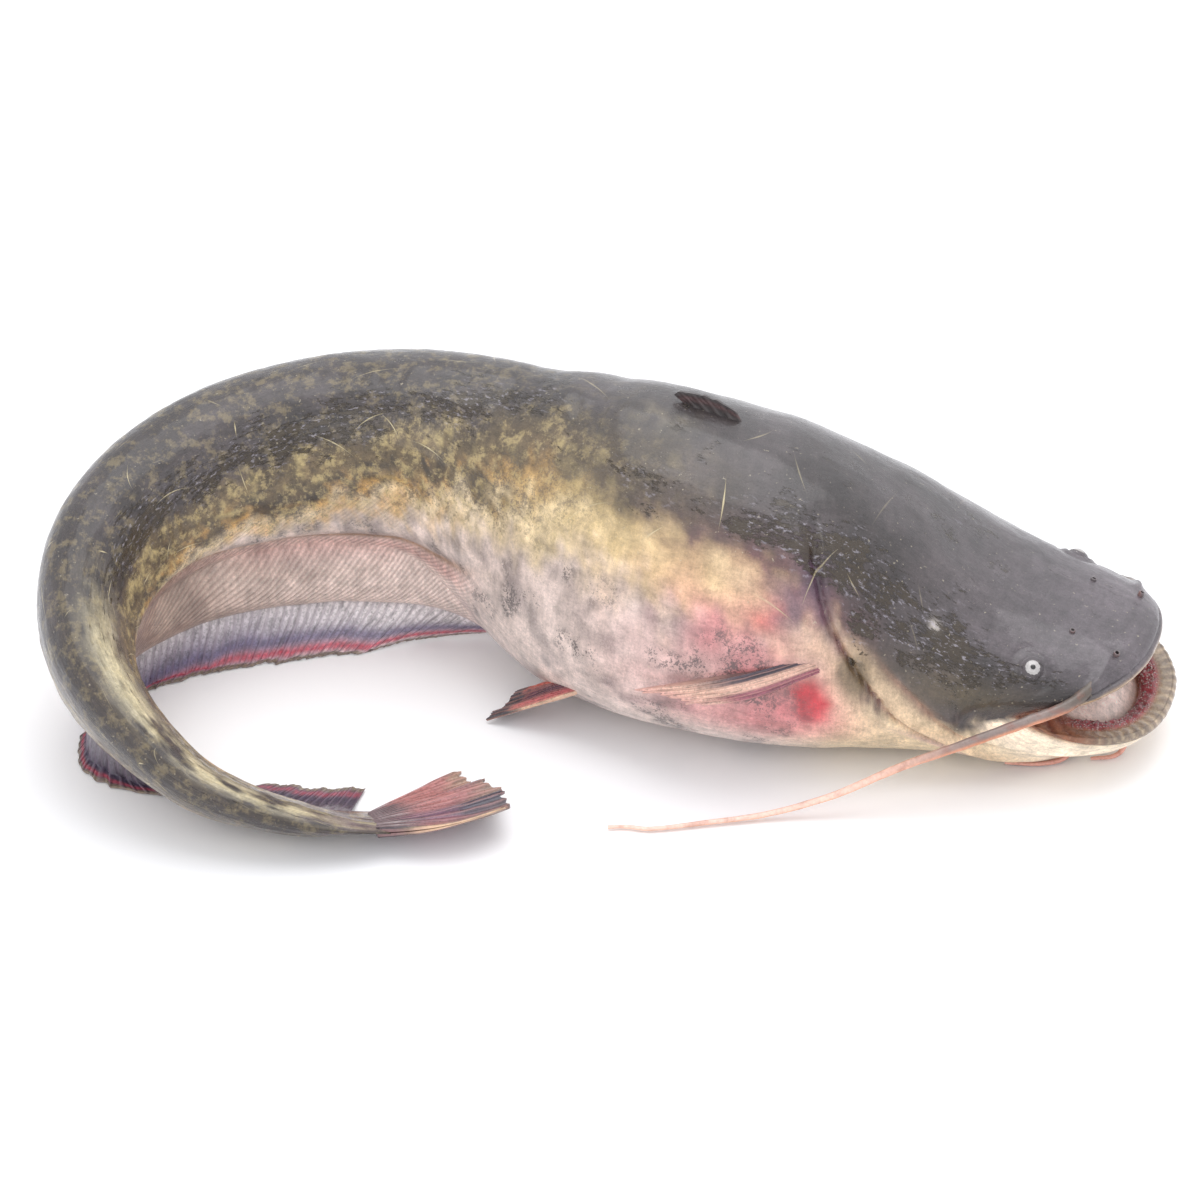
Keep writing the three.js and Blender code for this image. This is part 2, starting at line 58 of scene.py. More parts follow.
# %% Sizes and tables
MM = 0.001
LENGTH = 812.0
TRUNK_WIDTH = 172.0
TRUNK_DEPTH = 158.0
BELLY_SINK = 1.2
MOUTH_LENGTH = 52.0
MOUTH_WIDTH = 116.0
UPPER_LIP_HEIGHT = 58.0
LOWER_LIP_HEIGHT = 26.0
CORNER_HEIGHT = 42.0
JAW_REACH = 9.0
CHIN_INSET = 5.0
EYE_DIAMETER = 13.0
EYE_SHOWING = 3.4
EYE_SHARE = 0.074
EYE_TURN = 0.72
ANAL_FIN_DEPTH = 34.0
CAUDAL_FIN_LENGTH = 60.0
CAUDAL_FIN_WIDTH = 64.0
HEAD_END = 0.125
LIP_POWER = 2 / 2.3
HEADING = [[0, 160], [0.1, 162], [0.17, 169], [0.22, 176], [0.27, 170], [0.33, 157], [0.41, 150], [0.48, 165],
           [0.56, 191], [0.63, 214], [0.7, 241], [0.77, 277], [0.83, 311], [0.89, 338], [0.95, 358], [1, 374]]
ROLL = [[0, 0], [0.15, 2], [0.25, 5], [0.35, 9], [0.55, 10], [0.7, 9], [0.76, 14], [0.82, 26], [0.88, 42],
        [0.94, 58], [1, 72]]
HALF_WIDTH = [[0, 0.42], [0.04, 0.6], [0.08, 0.71], [0.13, 0.8], [0.19, 0.88], [0.25, 0.95], [0.31, 0.92],
              [0.36, 0.78], [0.42, 0.6], [0.5, 0.48], [0.6, 0.4], [0.7, 0.32], [0.8, 0.22], [0.9, 0.13],
              [1, 0.05]]
BACK_HEIGHT = [[0, 0.2], [0.07, 0.26], [0.12, 0.32], [0.18, 0.47], [0.25, 0.6], [0.33, 0.63], [0.38, 0.585],
               [0.43, 0.46], [0.5, 0.315], [0.6, 0.31], [0.7, 0.29], [0.8, 0.21], [0.9, 0.14], [1, 0.09]]
BELLY_DEPTH = [[0, 0.1], [0.07, 0.2], [0.12, 0.25], [0.18, 0.3], [0.25, 0.33], [0.33, 0.35], [0.39, 0.38],
               [0.44, 0.38], [0.5, 0.35], [0.6, 0.27], [0.7, 0.2], [0.8, 0.15], [0.9, 0.12], [1, 0.1]]
KEEL_DEPTH = [[0, 0], [0.4, 0], [0.44, 0.06], [0.5, 0.18], [0.58, 0.2], [0.68, 0.18], [0.8, 0.15],
              [0.9, 0.08], [1, 0.02]]
KEEL_LEAN = [[0, 20], [0.44, 30], [0.52, 30], [0.6, 24], [0.66, 10], [0.72, -10], [0.78, -35], [0.84, -20],
             [0.9, 10], [1, 0]]
TOP_POWER = [[0, 3], [0.1, 2.8], [0.2, 2.3], [1, 2]]
BOTTOM_POWER = [[0, 2.5], [0.12, 2.6], [0.2, 3.1], [0.34, 3.2], [0.46, 2.3], [1, 2]]
LIFT = [[0, 4], [0.06, 1], [0.1, 0], [0.36, 0], [0.42, 12], [0.5, 24], [0.6, 24], [0.7, 20], [0.8, 12],
        [0.9, 5], [1, 4]]
UP = np.array([0.0, 0.0, 1.0])
print("a fish of", LENGTH, "mm, its trunk", TRUNK_WIDTH, "mm wide and about", TRUNK_DEPTH, "mm deep")

# %% [markdown]
# Every table is read through a smooth curve that never overshoots its rows, so the body swells and tapers
# without bumps. All the shape work is done on whole arrays of points, which keeps a fine mesh quick to
# make.

# %% The body's middle line
def along(table, share):
    """The value at each share, on a smooth curve through the table's rows."""
    x, y = np.array(table, float).T
    h = np.diff(x)
    rise = np.diff(y) / h
    slope = np.empty(len(x))
    slope[0], slope[-1] = rise[0], rise[-1]
    for i in range(1, len(x) - 1):
        a, b = rise[i - 1], rise[i]
        before, after = 2 * h[i] + h[i - 1], h[i] + 2 * h[i - 1]
        slope[i] = 0 if a * b <= 0 else (before + after) / (before / a + after / b)
    share = np.asarray(share, float)
    row = np.clip(np.searchsorted(x, share, side="right") - 1, 0, len(h) - 1)
    u = np.clip((share - x[row]) / h[row], 0, 1)
    near = (1 + 2 * u) * (1 - u) ** 2 * y[row] + u * (1 - u) ** 2 * h[row] * slope[row]
    far = u * u * (3 - 2 * u) * y[row + 1] + u * u * (u - 1) * h[row] * slope[row + 1]
    return near + far


STEPS = 400
_angle = np.radians(along(HEADING, (np.arange(STEPS) + 0.5) / STEPS))
_walk = np.stack([np.cos(_angle), np.sin(_angle), 0 * _angle], -1) * LENGTH / STEPS
SPINE = np.vstack([np.zeros(3), np.cumsum(_walk, 0)])


def tailward(share):
    angle = np.radians(along(HEADING, share))
    return np.stack([np.cos(angle), np.sin(angle), 0 * angle], -1)


def rightward(share):
    t = tailward(share)
    return np.stack([-t[..., 1], t[..., 0], 0 * t[..., 0]], -1)


def spine(share):
    share = np.asarray(share, float)
    held = np.clip(share, 0, 1)
    place = held * STEPS
    step = np.minimum(place.astype(int), STEPS - 1)
    point = SPINE[step] + (SPINE[step + 1] - SPINE[step]) * (place - step)[..., None]
    return point + tailward(share) * ((share - held) * LENGTH)[..., None]


def signed(value, exponent):
    return np.sign(value) * np.abs(value) ** exponent


def unit(v):
    return v / np.maximum(np.linalg.norm(v, axis=-1, keepdims=True), 1e-9)


print("the middle line ends at", SPINE[-1].round(1), "mm from the snout")

# %% [markdown]
# A section is a squashed round with a keel hanging under it, turned by the body's roll. The head is
# different: its skin runs in smooth curves from the rim of the open mouth back to the first section. Such
# a body could be lofted from a few drawn outlines; a formula is used so that fins, eyes and whiskers can
# ask it where the skin is and which way it faces.

# %% The skin as a function of place
def station(share):
    """Middle and axes of the sections at these shares, before the lift that sets them on the slab."""
    roll = np.radians(along(ROLL, share))[..., None]
    right = rightward(share)
    return (spine(share), right * np.cos(roll) + UP * np.sin(roll), UP * np.cos(roll) - right * np.sin(roll))


def flat_section(share, turn):
    """Points of a section round its own middle."""
    middle, side, up = station(share)
    c, s = np.cos(turn), np.sin(turn)
    power = 2 / np.where(s > 0, along(TOP_POWER, share), along(BOTTOM_POWER, share))
    hang = np.clip((-s - 0.8) / 0.2, 0, 1) * along(KEEL_DEPTH, share) * TRUNK_DEPTH
    lean = np.radians(along(KEEL_LEAN, share))
    across = signed(c, power) * along(HALF_WIDTH, share) * TRUNK_WIDTH / 2 + np.sin(lean) * hang
    deep = np.where(s > 0, along(BACK_HEIGHT, share), along(BELLY_DEPTH, share)) * TRUNK_DEPTH
    high = signed(s, power) * deep - np.cos(lean) * hang
    return middle + side * across[..., None] + up * high[..., None]


_shares = np.linspace(0, 1, 401)
_ring = np.linspace(0, 2 * np.pi, 73)[:-1]
_low = flat_section(_shares[:, None] + 0 * _ring, _ring + 0 * _shares[:, None])[..., 2].min(1)
_raise = along(LIFT, _shares) - _low - BELLY_SINK


def section(share, turn):
    share, turn = np.broadcast_arrays(np.asarray(share, float), np.asarray(turn, float))
    point = flat_section(share, turn)
    point[..., 2] += np.interp(share, _shares, _raise)
    return point


def lip(turn):
    """The rim of the mouth: the upper and the lower bow, which meet at the corners."""
    s = np.sin(turn)
    front = np.abs(s) ** LIP_POWER
    lower = s < 0
    setback = MOUTH_LENGTH * (1 - front) - np.where(lower, JAW_REACH * front, 0)
    share = (setback + JAW_REACH + CHIN_INSET) / LENGTH
    point = spine(share) + rightward(share) * (signed(np.cos(turn), LIP_POWER) * MOUTH_WIDTH / 2)[..., None]
    height = np.where(lower, LOWER_LIP_HEIGHT, UPPER_LIP_HEIGHT)
    point[..., 2] = CORNER_HEIGHT + (height - CORNER_HEIGHT) * np.abs(s) ** 0.6
    return point


def skin(share, turn):
    """A point on the skin, in millimetres from the snout."""
    share, turn = np.broadcast_arrays(np.asarray(share, float), np.asarray(turn, float))
    edge, root = lip(turn), section(HEAD_END, turn)
    fore = unit(root - section(HEAD_END + 0.01, turn))
    reach = np.linalg.norm(edge - root, axis=-1)[..., None]
    s = np.sin(turn)[..., None]
    frontness = np.abs(s) ** 0.8
    outward = rightward(0.03) * np.cos(turn)[..., None] - tailward(0.03) * np.abs(s)
    leave = outward * frontness * 5 + UP * np.sign(s) * frontness * 15
    leave = leave + tailward(0.08) * (1 - frontness) * reach * 0.35
    u = np.clip(share / HEAD_END, 0, 1)[..., None]
    head = (1 - u) ** 3 * edge + 3 * u * (1 - u) ** 2 * (edge + leave)
    head = head + 3 * u * u * (1 - u) * (root + fore * reach * 0.42) + u ** 3 * root
    point = np.where((share >= HEAD_END)[..., None], section(np.maximum(share, HEAD_END), turn), head)
    point[..., 2] = np.maximum(point[..., 2], 0)
    return point


def off_skin(share, turn, distance):
    """A point standing out of the skin by this distance, or sunk into it."""
    share, turn = np.broadcast_arrays(np.asarray(share, float), np.asarray(turn, float))
    round_it = skin(share, turn + 0.05) - skin(share, turn - 0.05)
    down_it = skin(share + 0.004, turn) - skin(share - 0.004, turn)
    return skin(share, turn) + unit(np.cross(round_it, down_it)) * np.asarray(distance, float)[..., None]


eye_low, eye_high = (np.array(corner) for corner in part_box("eye_right"))
EYE_RIGHT = off_skin(EYE_SHARE, EYE_TURN, EYE_SHOWING - EYE_DIAMETER / 2)
EYE_LEFT = off_skin(EYE_SHARE, math.pi - EYE_TURN, EYE_SHOWING - EYE_DIAMETER / 2)
PLACE = (eye_low + eye_high) / 2 / MM - EYE_RIGHT
PLACE[2] = 0


def placed(points):
    """Millimetres from the snout to metres in the frame."""
    return (np.asarray(points) + PLACE) * MM


def on_side(side, angle):
    """The turn of the same place on the fish's right (1) or left (-1) side."""
    return angle if side > 0 else math.pi - angle


left_eye_box = np.mean([np.array(corner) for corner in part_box("eye_left")], 0)
print("the snout stands at", (PLACE * MM).round(4), "m; the left eye is",
      np.abs(placed(EYE_LEFT) - left_eye_box).max().round(5), "m off")

# %% [markdown]
# Skin, fins and whiskers are all closed skins without a seam, and so is a ball. Each piece starts as a UV
# sphere with as many rings and segments as the piece needs. Its vertices are then moved, in code, to
# where they belong on the fish, as a sculptor would pull clay: the two poles close the ends, and the
# rings between them become the rings of the piece.

# %% A sphere pulled into a tube
def start_clean():
    """Nothing is selected, so the next tool acts only on what it makes."""
    if bpy.context.object and bpy.context.object.mode != "OBJECT":
        bpy.ops.object.mode_set(mode="OBJECT")
    bpy.ops.object.select_all(action="DESELECT")


def tube_from_sphere(name, rings):
    """rings[i, j] in millimetres: ring i from one end to the other, point j round it. The ends are closed."""
    count, sides = rings.shape[:2]
    start_clean()
    bpy.ops.mesh.primitive_uv_sphere_add(segments=sides, ring_count=count + 1, radius=1, location=(0, 0, 0))
    piece = bpy.context.object
    piece.name = piece.data.name = name
    ball = np.empty(len(piece.data.vertices) * 3)
    piece.data.vertices.foreach_get("co", ball)
    ball = ball.reshape(-1, 3)
    ring = np.round(np.arccos(np.clip(ball[:, 2], -1, 1)) / np.pi * (count + 1)).astype(int) - 1
    spoke = np.round(np.arctan2(ball[:, 1], ball[:, 0]) / (2 * np.pi) * sides).astype(int) % sides
    inner = np.clip(ring, 0, count - 1)
    points = rings[inner, spoke]
    points[ring < 0] = rings[0].mean(0)
    points[ring >= count] = rings[-1].mean(0)
    piece.data.vertices.foreach_set("co", placed(points).ravel())
    piece.data.update()
    return piece, inner, spoke


def close_up(piece, angle=60):
    """Faces outward, smooth shading, and a count of what was made."""
    start_clean()
    bpy.context.view_layer.objects.active = piece
    piece.select_set(True)
    bpy.ops.object.mode_set(mode="EDIT")
    bpy.ops.mesh.select_all(action="SELECT")
    bpy.ops.mesh.normals_make_consistent(inside=False)
    bpy.ops.object.mode_set(mode="OBJECT")
    bpy.ops.object.shade_smooth_by_angle(angle=math.radians(angle))
    piece.select_set(False)
    places = np.empty(len(piece.data.vertices) * 3)
    piece.data.vertices.foreach_get("co", places)
    print(piece.name, len(piece.data.polygons), "faces, every point placed:", bool(np.isfinite(places).all()))


def paint(piece, name, values):
    """A number on every point of the piece, for its material to read."""
    layer = piece.data.attributes.new(name, "FLOAT", "POINT")
    layer.data.foreach_set("value", np.ascontiguousarray(values, np.float32))


def paint_colour(piece, name, values):
    """A colour on every point of the piece, for its material to read."""
    layer = piece.data.color_attributes.new(name, "FLOAT_COLOR", "POINT")
    whole = np.concatenate([values, np.ones((len(values), 1))], 1)
    layer.data.foreach_set("color", np.ascontiguousarray(whole, np.float32).ravel())


# %% [markdown]
# Living skin is never even. A displace modifier with a cloud texture could roughen it, but not a painted
# edge. This gentle random field, smooth and the same every time, does both: it breaks up the gill cover's
# rim, the line between flank and belly, and the fins' frayed ends.

# %% Smooth random fields
def wander(a, b, size, seed):
    """Smooth noise between -1 and 1 over two coordinates, with lumps of this size."""
    rng = np.random.default_rng(seed)
    grid = rng.uniform(-1, 1, (64, 64))
    x, y = np.asarray(a, float) / size, np.asarray(b, float) / size
    i, j = np.floor(x).astype(int), np.floor(y).astype(int)
    u, v = x - i, y - j
    u, v = u * u * (3 - 2 * u), v * v * (3 - 2 * v)

    def corner_value(p, q):
        return grid[p % 64, q % 64]

    low = corner_value(i, j) * (1 - u) + corner_value(i + 1, j) * u
    high = corner_value(i, j + 1) * (1 - u) + corner_value(i + 1, j + 1) * u
    return low * (1 - v) + high * v


def rough(a, b, size, seed):
    """Three sizes of lumps in one."""
    return (wander(a, b, size, seed) + 0.5 * wander(a, b, size / 2, seed + 1)
            + 0.25 * wander(a, b, size / 4, seed + 2)) / 1.75


def step(value, start, end):
    """0 before start, 1 after end, and smooth between."""
    u = np.clip((np.asarray(value, float) - start) / (end - start), 0, 1)
    return u * u * (3 - 2 * u)


def hump(value, middle, width):
    """1 at the middle, falling away to nothing on both sides."""
    return np.exp(-((np.asarray(value, float) - middle) / width) ** 2)


print("a few steps through the random field:", wander(np.arange(5), 0, 2.5, 1).round(2))


# %% [markdown]
# The body is one closed skin from the throat, out over the lining of the mouth and round the lips, and
# back over the head and trunk to the tail. The rings stand closer together on the head, where the folds
# are fine. It could be carved from one sphere with sculpting brushes; pulling every ring to its place by
# formula gives the same surface each time.

# %% Rings of the body
SIDES = 216
LINING = np.array([[0, -2, 0], [0.25, 5, 6], [0.5, 6, 9], [0.62, 4.5, 7], [0.7, 2.5, 2.2], [0.8, 0.6, 0.4],
                   [0.9, -1.2, -0.8], [1, 0, 0]])
turns = np.arange(SIDES) / SIDES * 2 * np.pi
lining_plan = np.concatenate([np.linspace(0.06, 0.7, 14), np.linspace(0.72, 0.985, 16)])
skin_share = np.concatenate([HEAD_END * np.linspace(0, 1, 90) ** 1.25, np.linspace(0.1265, 0.25, 76),
                             np.linspace(0.2528, 1, 250)])


def lining(plan, turn):
    """The palate above, the floor and the tongue below, running back from the lips to the throat."""
    edge = lip(turn)
    middle = spine((MOUTH_LENGTH * 0.72 + JAW_REACH + CHIN_INSET) / LENGTH)
    middle = np.array([middle[0], middle[1], CORNER_HEIGHT])
    point = middle + (edge - middle) * plan[..., None]
    s = np.sin(turn)
    rise, fall = (np.interp(plan, LINING[:, 0], LINING[:, k]) for k in (1, 2))
    flat = CORNER_HEIGHT + (edge[..., 2] - CORNER_HEIGHT) * np.minimum(1, plan + 0.35)
    tongue = 9 * np.maximum(0, -s) ** 2 * (1 - step(plan, 0.45, 0.66))
    point[..., 2] = flat + np.where(s > 0, rise, -fall) * np.abs(s) ** 0.7 + np.where(s < 0, tongue, 0)
    return point


inside = lining(*np.broadcast_arrays(lining_plan[:, None], turns))
outside = skin(skin_share[:, None], turns)
rings = np.concatenate([inside, outside])
share = np.concatenate([0 * lining_plan - 1, skin_share])[:, None] + 0 * turns
plan = np.concatenate([lining_plan, 0 * skin_share + 1])[:, None] + 0 * turns
turn = turns + 0 * share
# The same angle on both sides: -quarter turn is the belly, 0 the flank, quarter turn the back.
lateral = np.arcsin(np.clip(np.sin(turn), -1, 1))
hand = np.where(np.cos(turn) >= 0, 1.0, -1.0)
LIP_RING = len(lining_plan)
# The rim is rounded by pulling each ring near it three times toward its neighbours.
for _ in range(3):
    band = slice(LIP_RING - 6, LIP_RING + 5)
    ring_before, ring_after = rings[LIP_RING - 7:LIP_RING + 4], rings[LIP_RING - 5:LIP_RING + 6]
    rings[band] += 0.25 * (ring_before + ring_after - 2 * rings[band])
print("body rings", rings.shape[0], "of", SIDES)


# %% [markdown]
# Folds and swellings are pushed along the skin's own normal, a millimetre or three at a time: the gill
# cover stands proud and ends in a groove, the lips are thick rolls, the eyes have raised rims, the muscle
# over the anal fin is ribbed, and the flank falls into a crease above it. A sculptor would draw them with
# a crease brush. Here each is a smooth hump or groove across its own line, so it is the same each time.

# %% Relief of the body
def normals(points):
    round_it = np.roll(points, -1, 1) - np.roll(points, 1, 1)
    down_it = np.gradient(points, axis=0)
    return unit(np.cross(round_it, down_it))


def gill_edge(angle):
    """Share of the length where the gill cover ends, for each angle on the side of the head."""
    table = [[-1.58, 0.06], [-1.0, 0.08], [-0.6, 0.1], [-0.31, 0.124], [-0.08, 0.161], [0.2, 0.2],
             [0.45, 0.218], [0.75, 0.226], [1.6, 0.228]]
    return along(table, angle)


outer = share >= 0
mm = share * LENGTH
ROUND = 60  # millimetres of skin to a radian of turn


def blotches(size, seed):
    """Uneven patches of this many millimetres over the whole skin, between -1 and 1."""
    return rough(mm, turn * ROUND, size, seed)


def spot(share_at, share_wide, angle_at, angle_wide):
    """A soft round patch on both sides of the body."""
    return hump(share, share_at, share_wide) * hump(lateral, angle_at, angle_wide)


normal = normals(rings)
relief = np.zeros_like(share)
edge_here = gill_edge(lateral) + 0.0012 * wander(lateral, hand, 0.12, 3)
edge_slope = (gill_edge(lateral + 0.02) - gill_edge(lateral - 0.02)) / 0.04 * LENGTH / 75
slant = np.sqrt(1 + edge_slope ** 2)
behind_gill = (share - edge_here) * LENGTH / slant
gill_shown = outer * (1 - step(lateral, 0.7, 1.0))
relief += gill_shown * 2.6 * hump(behind_gill, -3, 7) * (behind_gill < 0)
relief -= gill_shown * 2.4 * hump(behind_gill, 1.6, 1.9)
relief += gill_shown * 1.0 * hump(behind_gill, 7.5, 4.5)
# A second, softer fold in front of it: the throat skin that folds under the gill cover.
fold_at = edge_here - 0.026 - 0.016 * step(-lateral, -0.3, 0.4)
fold = (share - fold_at) * LENGTH / slant
fold_shown = outer * step(-lateral, -0.35, -0.1) * (1 - step(-lateral, 0.9, 1.4))
relief -= fold_shown * 1.5 * hump(fold, 0, 2.2)
relief += fold_shown * 1.1 * hump(fold, -5, 3.4)
# Cheek muscle and the hollow behind the eye.
relief += outer * 2.2 * spot(0.12, 0.028, 0.25, 0.4)
relief -= outer * 1.2 * spot(0.16, 0.02, 0.75, 0.25)
# Crease between the flank and the fleshy base of the anal fin.
crease_at = along([[0.4, 0.05], [0.43, -0.25], [0.51, -0.76], [0.6, -0.8], [0.68, -0.55], [0.76, -0.5],
                   [0.85, -0.6], [1, -0.7]], share)
crease_shown = step(share, 0.405, 0.45) * (1 - step(share, 0.9, 0.97))
relief -= crease_shown * 2.6 * hump(lateral, crease_at, 0.09)
relief += crease_shown * 1.6 * hump(lateral, crease_at + 0.2, 0.16)
# The lateral line runs down the flank as a fine thread.
line_at = 0.34 + 0.01 * np.sin(share * 60)
relief += outer * 0.35 * hump(lateral, line_at, 0.02) * step(share, 0.24, 0.3)
# Blocks of muscle show faintly through the flank and leave it gently uneven.
MUSCLE_BLOCK = 11.5
block = np.abs(((mm / MUSCLE_BLOCK + 0.55 * np.abs(lateral - 0.3)) % 1) - 0.5)
relief -= step(share, 0.3, 0.42) * 0.22 * hump(block, 0, 0.1) * step(lateral, -0.3, 0.1)
relief += outer * 0.5 * blotches(26, 11) * step(share, 0.02, 0.08)
relief += outer * 0.22 * blotches(7, 21)
# Skin bunched in short wrinkles on the inside of the tail's curl.
inner_bend = step(share, 0.5, 0.6) * (1 - step(share, 0.9, 0.97)) * hump(turn % (2 * np.pi), 0.05, 0.4)
bunched = np.abs(((mm / 7 + 0.3 * wander(turn, share, 0.3, 8)) % 1) - 0.5)
relief -= inner_bend * 0.5 * hump(bunched, 0, 0.16)
print("deepest fold", relief.min().round(2), "mm, highest", relief.max().round(2), "mm")

# %% [markdown]
# The lips are thick and soft. The lower one is a broad wrinkled roll. Just inside each jaw lies a pad of
# hundreds of tiny teeth, set like the pile of a brush, and the skin behind the corner of the mouth is
# bunched. The pads get their swelling here and their teeth from the material: modelled one by one, the
# teeth would need more faces than the whole fish.

# %% Relief of the mouth
s_turn = np.sin(turn)
lower_jaw = s_turn < 0
LINING_DEPTH = 40
near_lip = np.where(outer, mm, (plan - 1) * LINING_DEPTH)
corner = 1 - step(np.abs(s_turn), 0.15, 0.5)
relief += np.where(lower_jaw, 1.9, 0.9) * hump(near_lip, 1.5, 5.5) * (1 - 0.6 * corner)
relief -= 0.9 * hump(near_lip, np.where(lower_jaw, 12.5, 9.0), 2.2) * (1 - 0.5 * corner) * outer
wrinkle = np.abs((turn * 30 / np.pi + 0.5 * wander(near_lip, turn * 10, 3, 31)) % 1 - 0.5)
relief -= 0.5 * hump(wrinkle, 0, 0.16) * hump(near_lip, 0, 7) * lower_jaw
# Where the jaws meet, the skin behind the corner is drawn into two soft pleats.
pleat = np.abs(((near_lip + 60 * lateral) / 9) % 1 - 0.5)
relief -= 1.2 * corner * hump(near_lip, 2, 9) * hump(pleat, 0, 0.17)
# The root of the long barbel runs forward under the skin of the upper jaw as a low ridge.
root_line = along([[0.0, 0.62], [0.02, 0.72], [0.04, 1.06], [0.06, 1.3]], np.clip(share, 0, 0.06))
root_shown = outer * (1 - step(share, 0.026, 0.05)) * step(share, 0.0, 0.008)
relief += root_shown * 2.4 * hump(lateral, root_line, 0.1)
pad = (1 - outer) * step(plan, 0.64, 0.69) * (1 - step(plan, 0.82, 0.87)) * (1 - corner)
relief += pad * (1.4 + 0.9 * wander(plan * 80, turn * 30, 0.9, 41))
eye_points = np.array([EYE_RIGHT, EYE_LEFT])
from_eye = np.min([np.linalg.norm(rings - e, axis=-1) for e in eye_points], 0)
rim = EYE_DIAMETER / 2
relief += outer * 0.8 * hump(from_eye, rim + 1.2, 1.3) - outer * 0.7 * hump(from_eye, rim + 4.5, 1.6)
rings = rings + normal * relief[..., None]
# The eyeball sits in a hollow, so the skin inside the rim is pushed in past the ball.
for eye in eye_points:
    away = rings - eye
    far = np.linalg.norm(away, axis=-1, keepdims=True)
    inside_rim = outer[..., None] & (far < rim + 0.15)
    rings = np.where(inside_rim, eye + away / np.maximum(far, 1e-6) * (rim + 0.15), rings)
# The end of the stalk is pressed thin, so that it runs out into the tail fin without a blunt stop.
STALK_PRESS = 0.62
ring_middle = rings.mean(axis=1, keepdims=True)
across = station(np.clip(share, 0, 1))[1]
sideways = np.sum((rings - ring_middle) * across, -1)
rings = rings - across * (sideways * STALK_PRESS * step(share, 0.945, 1.0))[..., None]
rings[..., 2] = np.maximum(rings[..., 2], 0.0)
body, ring_of, spoke_of = tube_from_sphere("skin_of_body", rings)
close_up(body, 75)


def on_body(field):
    """The field's value at each vertex of the body."""
    return field[ring_of, spoke_of]


print("mouth and eyes pressed in,", int((pad > 0.5).sum()), "points of tooth pad")

# %% [markdown]
# Colour is painted on the points of the skin, coat over coat, as an airbrush would lay it. It could be an
# image painted by hand, but that needs a seam and a map. A colour on each point needs neither and follows
# every fold. Fine speckles are left to the material, which can be sharper than the mesh.

# %% Paint
def tint(red, green, blue):
    """A screen colour, 0 to 255, as the linear light that materials use."""
    c = np.array([red, green, blue]) / 255
    return np.where(c < 0.04, c / 12.92, ((c + 0.055) / 1.055) ** 2.4)


class Paint:
    """The colour of every point of a piece, built up in coats."""

    def __init__(self, shape, first):
        self.colour = np.zeros((*shape, 3)) + tint(*first)

    def lay(self, tone, amount):
        """Lays a tone over what is there, as strongly as amount says, 0 to 1."""
        amount = np.clip(amount, 0, 1)[..., None]
        self.colour = self.colour * (1 - amount) + tint(*tone) * amount


print("middle grey on a screen is", tint(128, 128, 128)[0].round(3), "of full light")


# %% [markdown]
# A catfish is countershaded: dark above, so it vanishes against the river bed, and pale below. The flank
# between is olive with yellow marbling, a row of gold blotches and a row of near-black ones. The line
# between dark and pale rises and falls along the body and is never straight, so every band is measured
# from it.

# %% Colours of the back and flank
SLATE, SLATE_LIGHT, HEAD_TOP_SHEEN = (54, 47, 47), (82, 74, 76), (112, 103, 110)
OLIVE, DARK_OLIVE, STRAW, CHEEK = (120, 102, 72), (78, 66, 50), (196, 176, 122), (84, 70, 42)
GOLD, OCHRE, BUTTER, BLACK_BROWN = (206, 162, 98), (226, 180, 110), (222, 194, 136), (62, 54, 46)
CREAM, PINK, BELLY_GREY = (226, 204, 168), (212, 194, 188), (138, 126, 124)

pale_line = along([[0, 0.06], [0.1, 0.0], [0.165, 0.02], [0.2, 0.22], [0.235, 0.45], [0.285, 0.66],
                   [0.34, 0.66], [0.4, 0.5], [0.45, 0.25], [0.5, -0.05], [0.6, -0.2], [0.7, -0.2],
                   [0.8, -0.3], [1, -0.4]], share)
ragged = 0.16 * blotches(22, 51) + 0.16 * blotches(6, 61) * step(share, 0.1, 0.22)
above = lateral - pale_line + ragged
coat = Paint(share.shape, SLATE)
coat.lay(SLATE_LIGHT, 0.6 * step(blotches(30, 71), -0.2, 0.6))
# A painted sheen: the top of the head is laid lighter lavender grey.
coat.lay(HEAD_TOP_SHEEN, 0.5 * (1 - step(share, 0.05, 0.17)) * step(lateral, 0.5, 0.9))
olive_zone = (1 - step(above, 0.25, 0.7)) * step(share, 0.22, 0.5)
coat.lay(OLIVE, 0.85 * olive_zone)
coat.lay(DARK_OLIVE, 0.75 * olive_zone * step(blotches(10, 81), 0.1, 0.5))
coat.lay(STRAW, 0.6 * olive_zone * step(blotches(8, 91), 0.1, 0.55))
gold_row = hump(above, -0.02, 0.14) * step(share, 0.33, 0.42)
coat.lay(GOLD, gold_row * step(blotches(12, 101), -0.15, 0.3))
black_row = hump(above, 0.08, 0.14) * step(share, 0.36, 0.46)
coat.lay(BLACK_BROWN, 0.9 * black_row * step(blotches(9, 171), -0.1, 0.2))
coat.lay(CREAM, 1 - step(above, -0.16, 0.02))
muscle_row = hump(above, -0.26, 0.13) * step(share, 0.4, 0.46) * (1 - step(share, 0.62, 0.72))
coat.lay(OCHRE, 0.7 * muscle_row * step(wander(mm + 40 * lateral, lateral * 9, 5, 181), -0.2, 0.5))
yellow_zone = spot(0.31, 0.07, 0.48, 0.24)
coat.lay(BUTTER, 0.85 * yellow_zone * (1 - step(above, 0.0, 0.14)))
belly_zone = (1 - step(above, -0.5, -0.18)) * step(share, 0.2, 0.26)
coat.lay(PINK, 0.9 * belly_zone)
coat.lay(BELLY_GREY, 0.6 * belly_zone * step(blotches(13, 131), 0.0, 0.36))
print("belly painted on", int((belly_zone > 0.5).sum()), "points")
